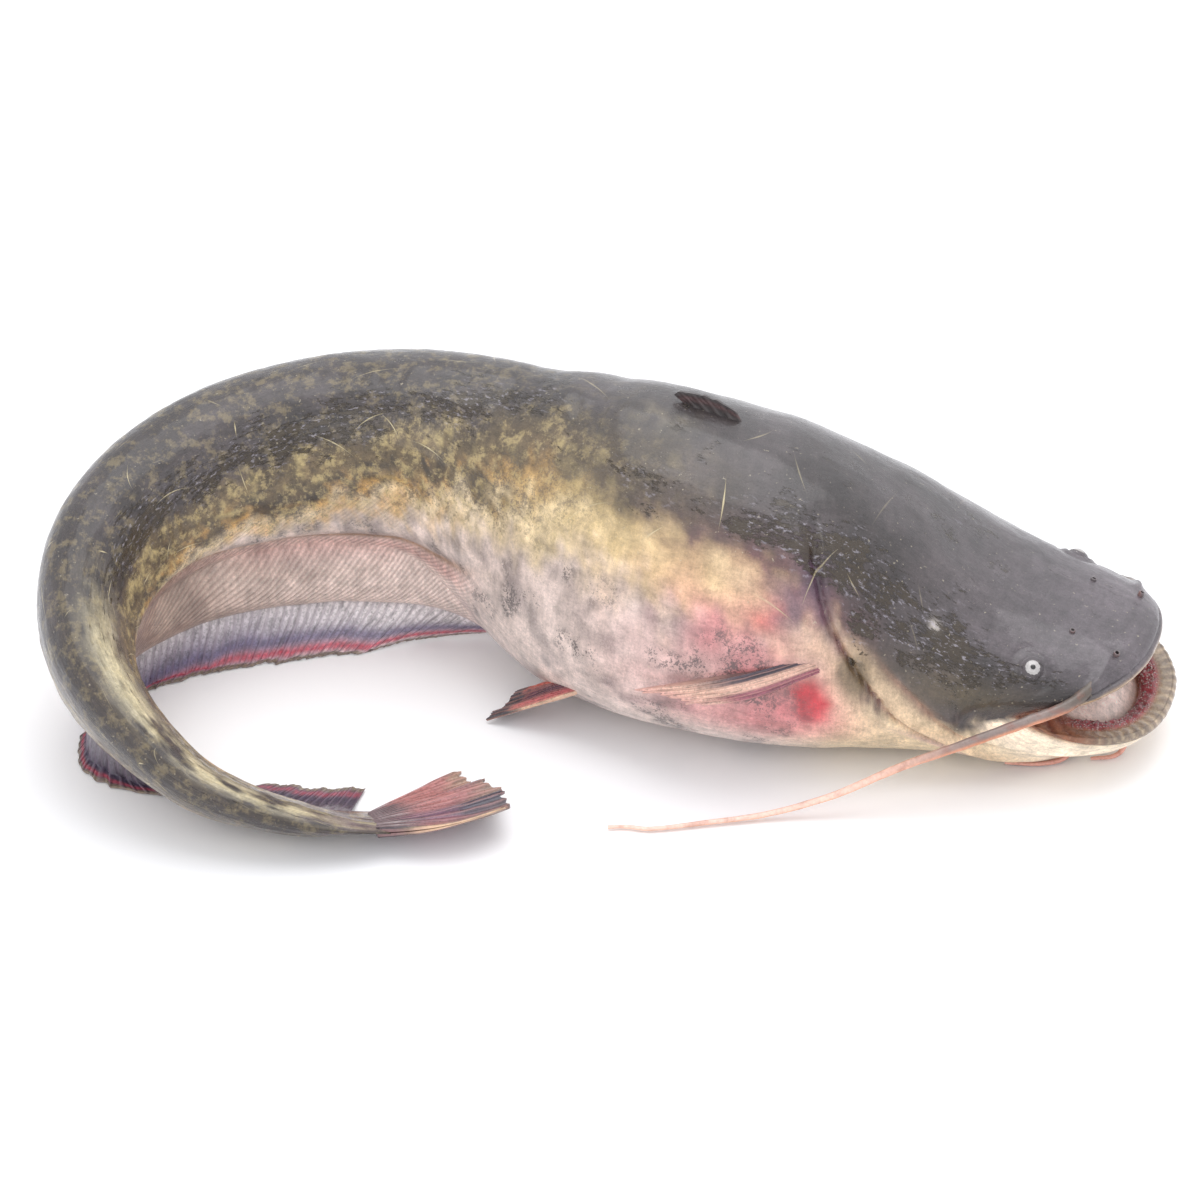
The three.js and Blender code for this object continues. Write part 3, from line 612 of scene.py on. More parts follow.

# %% [markdown]
# Behind the gill cover the pale skin is flushed and bruised, with one blood-red spot under the pectoral
# fin. The edge of the cover is cream and the slit behind it purple grey; the bottom of the slit's groove
# is painted brown as painted shade, and the folds are darker at the bottom, where little light gets in.
# A few old marks make this fish one fish and not a pattern.

# %% Colours round the gills
ROSE, BLOOD, PLUM, BRUISE = (202, 122, 124), (196, 22, 42), (86, 62, 84), (122, 104, 114)
SCAR, BARE_PATCH, COVER_EDGE, FOLD_BROWN = (206, 196, 186), (150, 140, 118), (226, 196, 160), (150, 104, 84)
SLIT_SHADE_BROWN, SLIT_MAUVE, GILL_OLIVE = (146, 96, 84), (150, 104, 124), (92, 76, 50)

blush_patchy = spot(0.262, 0.046, 0.2, 0.36) * (0.75 + 0.6 * blotches(14, 111))
coat.lay(ROSE, 0.95 * blush_patchy)
coat.lay(ROSE, 0.9 * spot(0.235, 0.03, -0.1, 0.2))
spot_edge = 0.004 * wander(mm, turn * ROUND, 6, 191)
red_spot = hump(share + spot_edge, 0.226, 0.013) * hump(lateral, -0.06, 0.13)
coat.lay(BLOOD, 0.98 * step(red_spot, 0.15, 0.75))
coat.lay(BLOOD, 0.5 * spot(0.25, 0.008, 0.32, 0.06))
coat.lay(BRUISE, 0.75 * spot(0.238, 0.015, 0.42, 0.2) * step(blotches(8, 221), -0.6, 0.2))
coat.lay(SCAR, 0.8 * spot(0.142, 0.004, 0.69, 0.07))
bare_beside_fin = step(blotches(7, 201), -0.4, 0.5) * spot(0.322, 0.016, 1.38, 0.13) * (hand > 0)
coat.lay(BARE_PATCH, 0.5 * bare_beside_fin)
coat.lay(ROSE, 0.6 * spot(0.25, 0.05, -0.25, 0.2))
coat.lay(PLUM, 0.7 * hump(behind_gill, 3, 5) * gill_shown * step(lateral, 0.1, 0.3))
cover_edge = hump(behind_gill, -4, 9) * (behind_gill < 1) * (1 - step(lateral, 0.22, 0.42)) * gill_shown
coat.lay(COVER_EDGE, 0.85 * cover_edge)
# The groove of the slit is painted brown here as painted shade.
coat.lay(SLIT_SHADE_BROWN, 0.6 * hump(behind_gill, 1.4, 1.1) * gill_shown * (1 - step(lateral, 0.2, 0.5)))
coat.lay(SLIT_MAUVE, 0.5 * hump(behind_gill, 6, 4) * gill_shown * (1 - step(lateral, -0.3, -0.1)))
coat.lay(FOLD_BROWN, 0.55 * fold_shown * hump(fold, 0, 2.0))
coat.lay(CHEEK, 0.75 * spot(0.11, 0.06, 0.2, 0.22) * step(above, 0.0, 0.12))
# An olive patch on the skin that joins the gill cover to the throat.
joining_skin = hump(share + 0.006 * blotches(9, 211), 0.196, 0.016) * hump(lateral, 0.12, 0.15)
coat.lay(GILL_OLIVE, 0.85 * step(joining_skin, 0.2, 0.8))
print("red spot on", int((red_spot > 0.5).sum()), "points")

# %% [markdown]
# Below the crease the fleshy base of the anal fin is pale pink near the vent and browner towards the
# tail. The stalk rolls over, so its dark back runs between a straw-coloured band on the inside of the
# curl and a silver grey one on the outside.

# %% Colours of the tail
KEEL_PINK, KEEL_BROWN, KEEL_DARK = (252, 230, 220), (158, 132, 112), (112, 92, 84)
CREASE_ROSE, CREASE_OCHRE, RIDGE_BROWN = (206, 130, 124), (150, 104, 40), (56, 44, 36)
STALK_STRAW, STALK_SILVER, STALK_MAUVE = (228, 214, 176), (158, 150, 142), (108, 92, 98)

below_crease = step(crease_at - lateral, -0.02, 0.08) * step(share, 0.4, 0.44)
right_side = step(hand, -0.5, 0.5)
keel_tone = along([[0.4, 0.0], [0.5, 0.1], [0.62, 0.4], [0.7, 0.75], [1, 1]], share)
coat.lay(KEEL_PINK, below_crease * (1 - keel_tone))
coat.lay(KEEL_BROWN, below_crease * keel_tone)
coat.lay(KEEL_DARK, 0.5 * keel_tone * below_crease * step(blotches(14, 151), 0.1, 0.6))
coat.lay(CREASE_ROSE, 0.5 * crease_shown * hump(lateral, crease_at - 0.12, 0.1) * (1 - keel_tone))
coat.lay(CREASE_OCHRE, 0.75 * crease_shown * hump(lateral, crease_at, 0.035))
tail = step(share, 0.74, 0.84)
ridge = hump(lateral, 1.57, 0.34)
coat.lay(RIDGE_BROWN, 0.85 * tail * ridge)
inner_band = tail * hump(lateral, 0.75, 0.42) * right_side
coat.lay(STALK_STRAW, 0.9 * inner_band * step(rough(mm, turn * 40, 10, 121), -0.5, 0.2))
silver = tail * (1 - step(lateral, -0.2, 0.9)) * (1 - right_side)
coat.lay(STALK_SILVER, 0.7 * silver)
ragged_end = step(wander(mm, turn * ROUND, 9, 161) + 6 * (share - 0.95), -0.5, 0.3)
stalk_end = step(share, 0.93, 0.985) * (1 - ridge) * ragged_end
coat.lay(STALK_MAUVE, 0.85 * stalk_end)
print("keel painted on", int((below_crease > 0.5).sum()), "points")

# %% [markdown]
# The lower lip is grey brown with paler wrinkles, the chin behind it nearly white. Inside, the tooth pads
# are dull red, the tongue is pale pink, and the palate is painted dark towards the throat as painted shade
# deep in the mouth. The mouth's colours come last, because they lie over everything that was laid on the
# head.

# %% Colours of the mouth
LIP_BROWN, LIP_PALE, CHIN_WHITE, UPPER_LIP = (126, 108, 94), (206, 184, 154), (248, 230, 204), (198, 168, 136)
CORNER_BROWN, PLEAT_SHADE_RED, CHEEK_LINING = (134, 78, 48), (92, 46, 34), (166, 98, 66)
PLEAT_SHADE_LINING, JAW_LINING, PAD_RED = (112, 56, 44), (140, 86, 58), (162, 70, 78)
TONGUE_PINK, THROAT_SHADE = (255, 232, 220), (74, 34, 36)

lower_front = lower_jaw * (1 - corner)
coat.lay(LIP_BROWN, 0.95 * lower_front * hump(near_lip, 0.5, 9.5))
coat.lay(LIP_PALE, 0.85 * lower_front * hump(near_lip, 0, 6) * hump(wrinkle, 0, 0.15))
chin = outer * lower_jaw * step(near_lip, 10, 15) * (1 - step(share, 0.06, 0.1))
coat.lay(CHIN_WHITE, chin * (1 - step(above, -0.1, 0.1)))
coat.lay(UPPER_LIP, 0.9 * (1 - lower_jaw) * hump(near_lip, 0.8, 3.0))
mouth_corner = (1 - step(np.abs(s_turn), 0.35, 0.72)) * hump(near_lip, 2, 11) * step(0.35 - lateral, 0, 0.2)
coat.lay(CORNER_BROWN, 0.95 * mouth_corner)
# The pleat grooves behind the corner, outside and on into the lining, are painted darker red as painted
# shade.
coat.lay(PLEAT_SHADE_RED, 0.7 * corner * hump(pleat, 0, 0.17) * hump(near_lip, 2, 10))
within = 1 - outer
coat.lay(CHEEK_LINING, within * (1 - lower_front) * step(1 - plan, 0.03, 0.08))
coat.lay(PLEAT_SHADE_LINING, 0.8 * within * (1 - lower_front) * hump(pleat, 0, 0.17))
coat.lay(JAW_LINING, within * lower_front * step(1 - plan, 0.1, 0.16))
coat.lay(PAD_RED, 0.95 * pad)
coat.lay(TONGUE_PINK, within * lower_jaw * (1 - step(plan, 0.56, 0.64)))
# The back of the palate is painted dark, as painted shade deep in the mouth.
coat.lay(THROAT_SHADE, within * (1 - lower_jaw) * (1 - step(plan, 0.5, 0.75)))
paint_colour(body, "skin_colour", on_body(coat.colour))
print("painted", coat.colour.shape[0] * coat.colour.shape[1], "points of skin")

# %% [markdown]
# The skin's material also has to know where it is: where the belly is speckled, where wet patches lie
# that the material paints dark as painted dark reflection, where stripes, teeth and marbling show, and how
# far along and round the body a point is. Each of these is one number on every point. They could be masks
# painted by hand in weight paint; here they come from the same bands as the colours, so they always agree
# with them.

# %% Where the finer marks lie
STRIPE_WIDTH = 4.6  # millimetres from one fin-muscle stripe to the next
HALF_GIRTH = 0.062  # metres of skin to a radian, so that marks round the body keep their shape

belly_speckle = belly_zone * step(blotches(15, 131), 0.0, 0.35)
line_speckle = 0.8 * hump(above, -0.06, 0.2) * step(share, 0.25, 0.4)
paint(body, "speckle", on_body(outer * (1 - below_crease) * np.clip(belly_speckle + line_speckle, 0, 1)))
# Wet patches: the material makes them smoother and also paints them darker, as painted dark reflection.
nape_wet_painted_dark = 0.75 * spot(0.215, 0.06, 0.84, 0.19) + 0.72 * spot(0.135, 0.06, 0.5, 0.28)
flank_wet_painted_dark = 0.5 * step(share, 0.33, 0.45) * (1 - step(share, 0.7, 0.85)) * hump(above, 0.7, 0.25)
patch = outer * (nape_wet_painted_dark + flank_wet_painted_dark) + 0.35 * blotches(18, 141) * step(above, 0, 0.1)
paint(body, "wet_patch", on_body(np.clip(patch, 0, 1) * step(above, -0.05, 0.1)))
dashes = outer * hump(above, 0.62, 0.2) * step(share, 0.3, 0.36) * (1 - step(share, 0.5, 0.6))
paint(body, "dashes", on_body(dashes))
paint(body, "stripe_phase", on_body(mm / STRIPE_WIDTH + (lateral - crease_at) * 20))
keel_stripes = below_crease * (1 - 0.5 * step(share, 0.85, 1))
flank_stripes = 0.5 * hump(above, -0.3, 0.2) * step(share, 0.42, 0.5)
paint(body, "stripes", on_body(np.maximum(keel_stripes, flank_stripes)))
paint(body, "teeth", on_body(pad))
lining_place = rings * MM
full_angle = np.where(hand > 0, lateral, np.pi - lateral)
paint(body, "flow", on_body(np.where(outer, mm * MM, lining_place[..., 0])))
paint(body, "girth", on_body(np.where(outer, full_angle * HALF_GIRTH, lining_place[..., 1])))
marbled = olive_zone * step(share, 0.24, 0.38) * step(above, -0.4, -0.15)
marbled += 0.35 * step(above, 0.1, 0.3) * step(share, 0.3, 0.5)
paint(body, "marble", on_body(outer * np.clip(marbled, 0, 1)))
flank = step(above, -0.2, 0.1) * (1 - 0.6 * step(lateral, 1.0, 1.3)) * step(share, 0.1, 0.3)
paint(body, "flank", on_body(outer * flank))
paint(body, "wet", on_body(np.clip(within + 0.8 * hump(near_lip, 0, 5), 0, 1)))
print("the body carries", len(body.data.attributes), "layers of numbers")

# %% [markdown]
# Materials are built from nodes. Each starts with the painted colour and breaks it up with noise at
# several sizes. They could be wired up by hand in the shader editor. In code a few short helpers keep the
# same wiring readable, and each finish comes out the same every time.

# %% Node helpers
class Finish:
    """A material and short ways to add nodes to it."""

    def __init__(self, name, coat=0.3, coat_roughness=0.1):
        self.material = bpy.data.materials.new(name)
        self.material.use_nodes = True
        self.nodes, self.links = self.material.node_tree.nodes, self.material.node_tree.links
        self.shader = self.nodes["Principled BSDF"]
        self.shader.inputs["Coat Weight"].default_value = coat
        self.shader.inputs["Coat Roughness"].default_value = coat_roughness
        self.place = self.add("ShaderNodeTexCoord").outputs["Object"]

    def add(self, kind, inputs=(), **settings):
        made = self.nodes.new(kind)
        for key, value in settings.items():
            setattr(made, key, value)
        for key, value in dict(inputs).items():
            self.set(made.inputs[key], value)
        return made

    def set(self, socket, value):
        if isinstance(value, bpy.types.NodeSocket):
            self.links.new(value, socket)
        elif socket.type == "RGBA":
            socket.default_value = (*[float(v) for v in value], 1.0)
        else:
            socket.default_value = value

    def number(self, name):
        return self.add("ShaderNodeAttribute", attribute_name=name).outputs["Fac"]

    def colour(self, name):
        return self.add("ShaderNodeAttribute", attribute_name=name).outputs["Color"]

    def noise(self, scale, detail=4.0, stretch=None, roughness=0.55):
        where = self.place
        if stretch:
            where = self.add("ShaderNodeMapping", {"Vector": where, "Scale": stretch}).outputs[0]
        return self.add("ShaderNodeTexNoise", {"Vector": where, "Scale": scale, "Detail": detail,
                                               "Roughness": roughness}).outputs["Fac"]

    def mottle(self, scale, detail, roughness, low, high):
        """Noise as a number from low to high, to make something a little more here and less there."""
        return self.span(self.noise(scale, detail, roughness=roughness), 0.3, 0.7, low, high)

    def math(self, operation, a, b=0.0):
        return self.add("ShaderNodeMath", {0: a, 1: b}, operation=operation).outputs[0]

    def times(self, a, b):
        return self.math("MULTIPLY", a, b)

    def plus(self, a, b):
        return self.math("ADD", a, b)

    def minus(self, a, b):
        return self.math("SUBTRACT", a, b)

    def span(self, value, low, high, to_low=0.0, to_high=1.0):
        """Value from low..high to to_low..to_high, held at the ends."""
        return self.add("ShaderNodeMapRange", {0: value, 1: low, 2: high, 3: to_low, 4: to_high}).outputs[0]

    def mix(self, a, b, amount):
        made = self.add("ShaderNodeMix", data_type="RGBA")
        self.set(made.inputs["Factor"], amount)
        self.set(made.inputs["A"], a)
        self.set(made.inputs["B"], b)
        return made.outputs["Result"]

    def shade(self, colour, value):
        """The colour made brighter or darker by a number round 1."""
        return self.add("ShaderNodeHueSaturation", {"Color": colour, "Value": value}).outputs[0]

    def done(self, colour, roughness, height, strength=0.5, distance=0.0006):
        bump = self.add("ShaderNodeBump", {"Height": height, "Strength": strength, "Distance": distance})
        self.set(self.shader.inputs["Base Color"], colour)
        self.set(self.shader.inputs["Roughness"], roughness)
        self.links.new(bump.outputs[0], self.shader.inputs["Normal"])
        return self.material


def keep(piece, node, material):
    """Gives the piece its finish, hangs it under the root, and hides the solid it stands for."""
    piece.data.materials.clear()
    piece.data.materials.append(material)
    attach(piece, "root")
    if node:
        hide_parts(node)


print("node helpers ready")

# %% [markdown]
# The skin carries short pale scratches from stones and rivals. They could be drawn on an image. Here a
# scattered cell pattern gives each cell one stroke, turned its own way and bent a little, and leaves many
# cells bare, so no two places look alike.

# %% Scratches
def scratches(f, flow, scale, bare):
    """Short bent strokes, one in each cell of a scattered pattern, leaving this share of the cells bare."""
    longest, shortest, thickness, blur, curl = 0.02, 0.006, 0.00055, 0.0003, 16
    cells = f.add("ShaderNodeTexVoronoi", {"Vector": flow, "Scale": scale}, voronoi_dimensions="2D").outputs
    chance = f.add("ShaderNodeSeparateColor", {"Color": cells["Color"]}).outputs
    offset = f.add("ShaderNodeVectorMath", {0: flow, 1: cells["Position"]}, operation="SUBTRACT").outputs[0]
    turning = {"Vector": offset, "Angle": f.times(chance["Red"], math.pi)}
    turned = f.add("ShaderNodeVectorRotate", turning, rotation_type="Z_AXIS").outputs[0]
    place = f.add("ShaderNodeSeparateXYZ", {0: turned}).outputs
    bend = f.times(f.times(place["X"], place["X"]), f.span(chance["Green"], 0, 1, -curl, curl))
    off_line = f.math("ABSOLUTE", f.minus(place["Y"], bend))
    half_length = f.span(chance["Blue"], bare, 1, shortest, longest)
    width = f.span(f.math("ABSOLUTE", place["X"]), 0, half_length, thickness, 0)
    on_line = f.span(f.minus(width, off_line), 0.0, blur)
    return f.times(on_line, f.span(chance["Blue"], bare, bare + 0.02))


print("one stroke to a cell of", round(1000 / 29), "mm")

# %% [markdown]
# A wet fish has two kinds of shine: a film of slime that scatters light and looks grey, and bare wet
# patches with ragged edges that look dark and sharp. Roughness changes with them, and a thin clear coat
# lies on top of all. The dark of the bare patches is also painted into the colour as painted dark
# reflection, with small painted highlights among them. The marks are laid in the order they lie in real
# skin: pigment first, then stripes and speckles, then what is wet with its painted dark reflection and
# highlights, then what is scratched away. Height follows the same marks, so light catches each of them.

# %% Wet skin
def skin_marks(f, flow, drawn):
    """Pigment, stripes and speckles, with the stripes and the ribs of colour that other marks also follow."""
    upright = f.add("ShaderNodeMapping", {"Vector": flow, "Scale": (1, 0.3, 1)}).outputs[0]
    rib_noise = {"Vector": upright, "Scale": 240.0, "Detail": 5.0, "Roughness": 0.7}
    ribs = f.add("ShaderNodeTexNoise", rib_noise).outputs["Fac"]
    tone = f.times(f.span(ribs, 0.35, 0.65, 0.82, 1.12), f.mottle(48, 6, 0.65, 0.74, 1.26))
    tone = f.times(tone, f.span(drawn(170, 2.2, 6, 0.75), 0.3, 0.7, 0.7, 1.3))
    tone = f.times(tone, f.mottle(800, 4, 0.8, 0.78, 1.24))
    colour = f.shade(f.colour("skin_colour"), tone)
    marble = f.times(f.span(f.noise(150, 7, roughness=0.75), 0.5, 0.6), f.number("marble"))
    colour = f.mix(colour, tint(206, 184, 130), f.times(marble, 0.55))
    blot = f.times(f.span(f.noise(240, 6, roughness=0.75), 0.52, 0.6), f.number("marble"))
    colour = f.mix(colour, tint(66, 56, 46), f.times(blot, 0.6))
    stripe = f.math("SINE", f.times(f.number("stripe_phase"), 2 * math.pi))
    stripe_on = f.times(f.span(stripe, -0.5, 1.0), f.number("stripes"))
    colour = f.mix(colour, tint(146, 110, 100), f.times(stripe_on, 0.36))
    lumps = f.times(f.noise(110, 4, roughness=0.65), 0.75)
    grains = f.span(f.plus(f.noise(800, 3, roughness=0.8), lumps), 0.87, 0.97)
    dark = f.times(grains, f.number("speckle"))
    return f.mix(colour, tint(66, 62, 64), f.times(dark, 0.8)), stripe_on, ribs


def wet_skin():
    """The whole finish of the body."""
    f = Finish("wet_catfish_skin", coat=0.5, coat_roughness=0.12)
    flow = f.add("ShaderNodeCombineXYZ", {"X": f.number("flow"), "Y": f.number("girth")}).outputs[0]

    def drawn(scale, stretch, detail, grain):
        """Noise drawn out along the body."""
        where = f.add("ShaderNodeMapping", {"Vector": flow, "Scale": (1 / stretch, 1, 1)}).outputs[0]
        settings = {"Vector": where, "Scale": scale, "Detail": detail, "Roughness": grain}
        return f.add("ShaderNodeTexNoise", settings).outputs["Fac"]

    colour, stripe_on, ribs = skin_marks(f, flow, drawn)
    wet_painted_dark_amount = f.number("wet_patch")
    ragged_edge = f.plus(wet_painted_dark_amount, f.span(drawn(130, 2.4, 9, 0.82), 0.34, 0.66, -0.75, 0.75))
    wet_painted_dark_on = f.times(f.span(ragged_edge, 0.48, 0.6), f.span(wet_painted_dark_amount, 0.02, 0.15))
    # The wet patches are painted darker olive brown, as painted dark reflection.
    colour = f.mix(colour, f.shade(f.mix(colour, tint(70, 54, 30), 0.8), 0.62), wet_painted_dark_on)
    dash = f.times(f.span(ribs, 0.53, 0.58), f.number("dashes"))
    colour = f.mix(colour, tint(50, 40, 28), f.times(dash, 0.75))
    # Small wet glints are painted into the colour among the dark patches, as painted highlights.
    painted_highlight = f.times(f.span(drawn(420, 2.0, 4, 0.7), 0.57, 0.64), f.span(wet_painted_dark_amount, 0.1, 0.5))
    colour = f.mix(colour, tint(184, 178, 190), f.times(painted_highlight, 0.5))
    fleck = f.span(f.noise(560, 2), 0.69, 0.75)
    colour = f.mix(colour, tint(206, 194, 168), f.times(fleck, 0.4))
    scratch = f.times(scratches(f, flow, 29.0, 0.2), f.number("flank"))
    colour = f.mix(colour, tint(226, 210, 168), f.times(scratch, 0.7))
    cusps = f.add("ShaderNodeTexVoronoi", {"Vector": f.place, "Scale": 620.0}).outputs["Distance"]
    tooth = f.times(f.span(cusps, 0.45, 0.2), f.number("teeth"))
    colour = f.mix(colour, tint(232, 206, 198), f.times(tooth, 0.8))
    slime = f.span(drawn(90, 2.0, 6, 0.7), 0.3, 0.7, 0.22, 0.46)
    roughness = f.minus(f.minus(slime, f.times(wet_painted_dark_on, 0.16)), f.times(f.number("wet"), 0.16))
    roughness = f.add("ShaderNodeClamp", {0: roughness, 1: 0.08, 2: 0.9}).outputs[0]
    height = f.plus(f.times(f.noise(1100, 3, roughness=0.7), 0.3), drawn(230, 1.8, 6, 0.7))
    height = f.plus(height, f.times(f.noise(70, 3), 0.9))
    for mark, depth in ((stripe_on, -0.6), (tooth, 1.6), (wet_painted_dark_on, -0.45), (scratch, -0.4)):
        height = f.plus(height, f.times(mark, depth))
    return f.done(colour, roughness, height, strength=0.75, distance=0.0012)


SKIN = wet_skin()
keep(body, "body", SKIN)
print("body finished with", SKIN.name)

# %% [markdown]
# A fin is a web of thin skin over a comb of soft rays. It could be a plane with Solidify, but its root,
# its free edge and its two ends would then be equally thick. It is pulled from a sphere instead: each
# ring runs out along one face of the leaf, round its edge and back along the other. The rays stand up as
# ridges on both faces, the skin between them is thin, and the edge is frayed where the rays' tips stand
# past the web.

# %% A fin as a closed leaf
def leaf(name, surface, columns, rows, rays, thick, ridge, fray, seed):
    """surface(u, v) in millimetres, u along the root, v from root to edge. Gives the piece, its u and v."""
    lowest, side_round, split_from = 0.5, 0.05, 0.55
    u = np.linspace(0, 1, columns)[:, None] + np.zeros(2 * rows)
    out = np.linspace(0, 1, rows) ** 0.9
    v = np.concatenate([out, out[::-1]])[None, :] + 0 * u
    face = np.concatenate([np.ones(rows), -np.ones(rows)])[None, :] + 0 * u
    ray = np.cos(2 * np.pi * rays * u)
    ragged = 0.6 * wander(u * rays, 0 * u, 1.6, seed) + 0.2 * ray
    ragged = ragged + 0.6 * wander(u * rays, 0 * u, 0.37, seed + 1)
    reach = 1 + fray * (ragged - 0.4)
    far = v * (1 + (reach - 1) * step(v, 0.6, 1.0))
    point = surface(u, far)
    du, dv = 0.5 / columns, 0.01
    along_root = surface(u + du, far) - surface(u - du, far)
    outward = surface(u, far + dv) - surface(u, far - dv)
    normal = unit(np.cross(along_root, outward))
    half = (thick[0] + (thick[1] - thick[0]) * step(v, 0, 0.7)) / 2
    split = np.cos(4 * np.pi * rays * u)
    # Each ray splits in two toward its tip.
    forked = step(v, split_from, split_from + 0.2)
    bones = np.where(v < split_from, ray, ray * (1 - forked) + split * forked)
    half = half + ridge * (0.5 + 0.5 * bones) * (1 - 0.6 * v) * step(v, 0.02, 0.25)
    from_side = 1 - np.clip(np.minimum(u, 1 - u) / side_round, 0, 1)
    half = half * (0.12 + 0.88 * np.sqrt(1 - from_side ** 2))
    point = point + normal * (face * half)[..., None]
    point[..., 2] = np.maximum(point[..., 2], lowest)
    piece, at_ring, at_spoke = tube_from_sphere(name, point)
    close_up(piece, 80)
    u, v = u[at_ring, at_spoke], v[at_ring, at_spoke]
    paint(piece, "ray_phase", u * rays)
    paint(piece, "outward", v)
    return piece, u, v


def fin_finish(name, stripe_strength, ray_colour, bump=0.6):
    """Wet web with paler or darker rays, dark streaks along them and a fine grain between."""
    f = Finish(name, coat=0.35, coat_roughness=0.12)
    colour = f.colour("fin_colour")
    colour = f.shade(colour, f.mottle(260, 5, 0.7, 0.78, 1.22))
    phase = f.plus(f.number("ray_phase"), f.span(f.noise(90, 3), 0, 1, -0.25, 0.25))
    wave = f.math("COSINE", f.times(phase, 2 * math.pi))
    bone = f.span(wave, 0.0, 0.9)
    joints = f.math("SINE", f.times(f.number("outward"), 190.0))
    colour = f.mix(colour, tint(*ray_colour), f.times(bone, stripe_strength))
    comb = f.add("ShaderNodeCombineXYZ", {"X": f.number("ray_phase"), "Y": f.times(f.number("outward"), 2.2)})
    settings = {"Vector": comb.outputs[0], "Scale": 1.6, "Detail": 5.0, "Roughness": 0.7}
    streak = f.add("ShaderNodeTexNoise", settings).outputs["Fac"]
    colour = f.mix(colour, f.shade(colour, 0.45), f.span(streak, 0.5, 0.64, 0.0, 0.75))
    web = f.span(f.noise(700, 4, roughness=0.7), 0.45, 0.62)
    colour = f.mix(colour, f.shade(colour, 0.62), f.times(web, f.minus(1.0, bone)))
    height = f.plus(bone, f.times(f.times(joints, bone), 0.12))
    height = f.plus(height, f.times(f.noise(800, 4), 0.6))
    return f.done(colour, f.mottle(300, 4, 0.55, 0.24, 0.46), height, bump, 0.0005)


VENTRAL, DORSAL = 1.5 * math.pi, 0.5 * math.pi


def keel_out(share):
    """The way the keel points under the body."""
    _, side, up = station(share)
    lean = np.radians(along(KEEL_LEAN, share))[..., None]
    return side * np.sin(lean) - up * np.cos(lean)


# %% [markdown]
# The anal fin is the catfish's longest, a skirt of about ninety rays from the vent to the tail. Its web
# is whitish near the vent and turns violet towards the tail, with a red band near the margin and a frayed
# fringe. It hangs from the keel, so its surface is the keel's own line drawn outwards and back. A strip
# of cloth could be simulated, but a wet fin on a wet slab hardly moves, and its small waves are set by
# its rays.

# %% Anal fin
ANAL_START, ANAL_END, ANAL_ROOT = 0.412, 0.98, 4


def anal_surface(u, v):
    # The slope at the root is asked for a little below it, where a fractional power has no value.
    v = np.maximum(v, 0)
    share = ANAL_START + (ANAL_END - ANAL_START) * np.clip(u, 0, 1)
    tip = skin(share, VENTRAL + 0 * share)
    out = keel_out(share)
    depth = ANAL_FIN_DEPTH * np.minimum(1, 0.3 + 5 * u) * (1 - 0.35 * u)
    waves = wander(u * 60, 0 * u, 1.3, 5) + 0.5 * wander(u * 60, 0 * u, 0.5, 6)
    lift = 2.2 * v ** 1.5 * (0.35 + u) * waves
    sweep = (24 - 14 * u) * v ** 1.4
    point = tip + out * (v * (depth + ANAL_ROOT) - ANAL_ROOT)[..., None] + tailward(share) * sweep[..., None]
    point = point + np.cross(out, tailward(share)) * lift[..., None]
    point[..., 2] = np.maximum(point[..., 2], 1.2 + 0.5 * wander(u * 60, v, 0.8, 9) * v)
    return point


anal, u, v = leaf("anal_fin_web", anal_surface, columns=860, rows=20, rays=88, thick=(3.6, 0.9), ridge=0.3,
                  fray=0.045, seed=3)
edge_v = v + 0.05 * wander(u * 60, v, 1.5, 13)
violet = step(u, 0.1, 0.5)
coat = Paint(u.shape, (252, 244, 244))
coat.lay((96, 82, 122), (0.12 + 0.6 * violet) * step(edge_v, -0.1, 0.5))
coat.lay((84, 70, 118), 0.8 * hump(edge_v, 0.62, 0.14))
coat.lay((54, 42, 60), 0.85 * step(u, 0.4, 0.75))
coat.lay((204, 70, 92), 0.95 * hump(edge_v, 0.8, 0.08) * (1 - 0.5 * step(u, 0.6, 0.8)))
coat.lay((142, 126, 110), step(edge_v, 0.88, 0.94))
paint_colour(anal, "fin_colour", coat.colour)
keep(anal, "anal_fin", fin_finish("anal_fin_web_finish", 0.4, (112, 96, 112)))

# %% [markdown]
# The tail fin is small and rounded. Here it is half folded, in three pleats, with pink rays, a cream
# lower edge and slate-blue patches at the worn end. Its root is as high as the stalk and its edge is a
# round line swung a little to one side; the surface is spanned between the two and pleated by a sine
# wave.

# %% Tail fin
end_middle, end_side, end_up = (axis[0] for axis in station(np.array([1.0])))
end_middle = end_middle + UP * np.interp(1.0, _shares, _raise)
CAUDAL_SWEEP = math.radians(14)


def swept(vector):
    c, s = math.cos(CAUDAL_SWEEP), math.sin(CAUDAL_SWEEP)
    return np.array([vector[0] * c - vector[1] * s, vector[0] * s + vector[1] * c, vector[2]])


end_back, end_belly = along(BACK_HEIGHT, 1.0) * TRUNK_DEPTH, along(BELLY_DEPTH, 1.0) * TRUNK_DEPTH


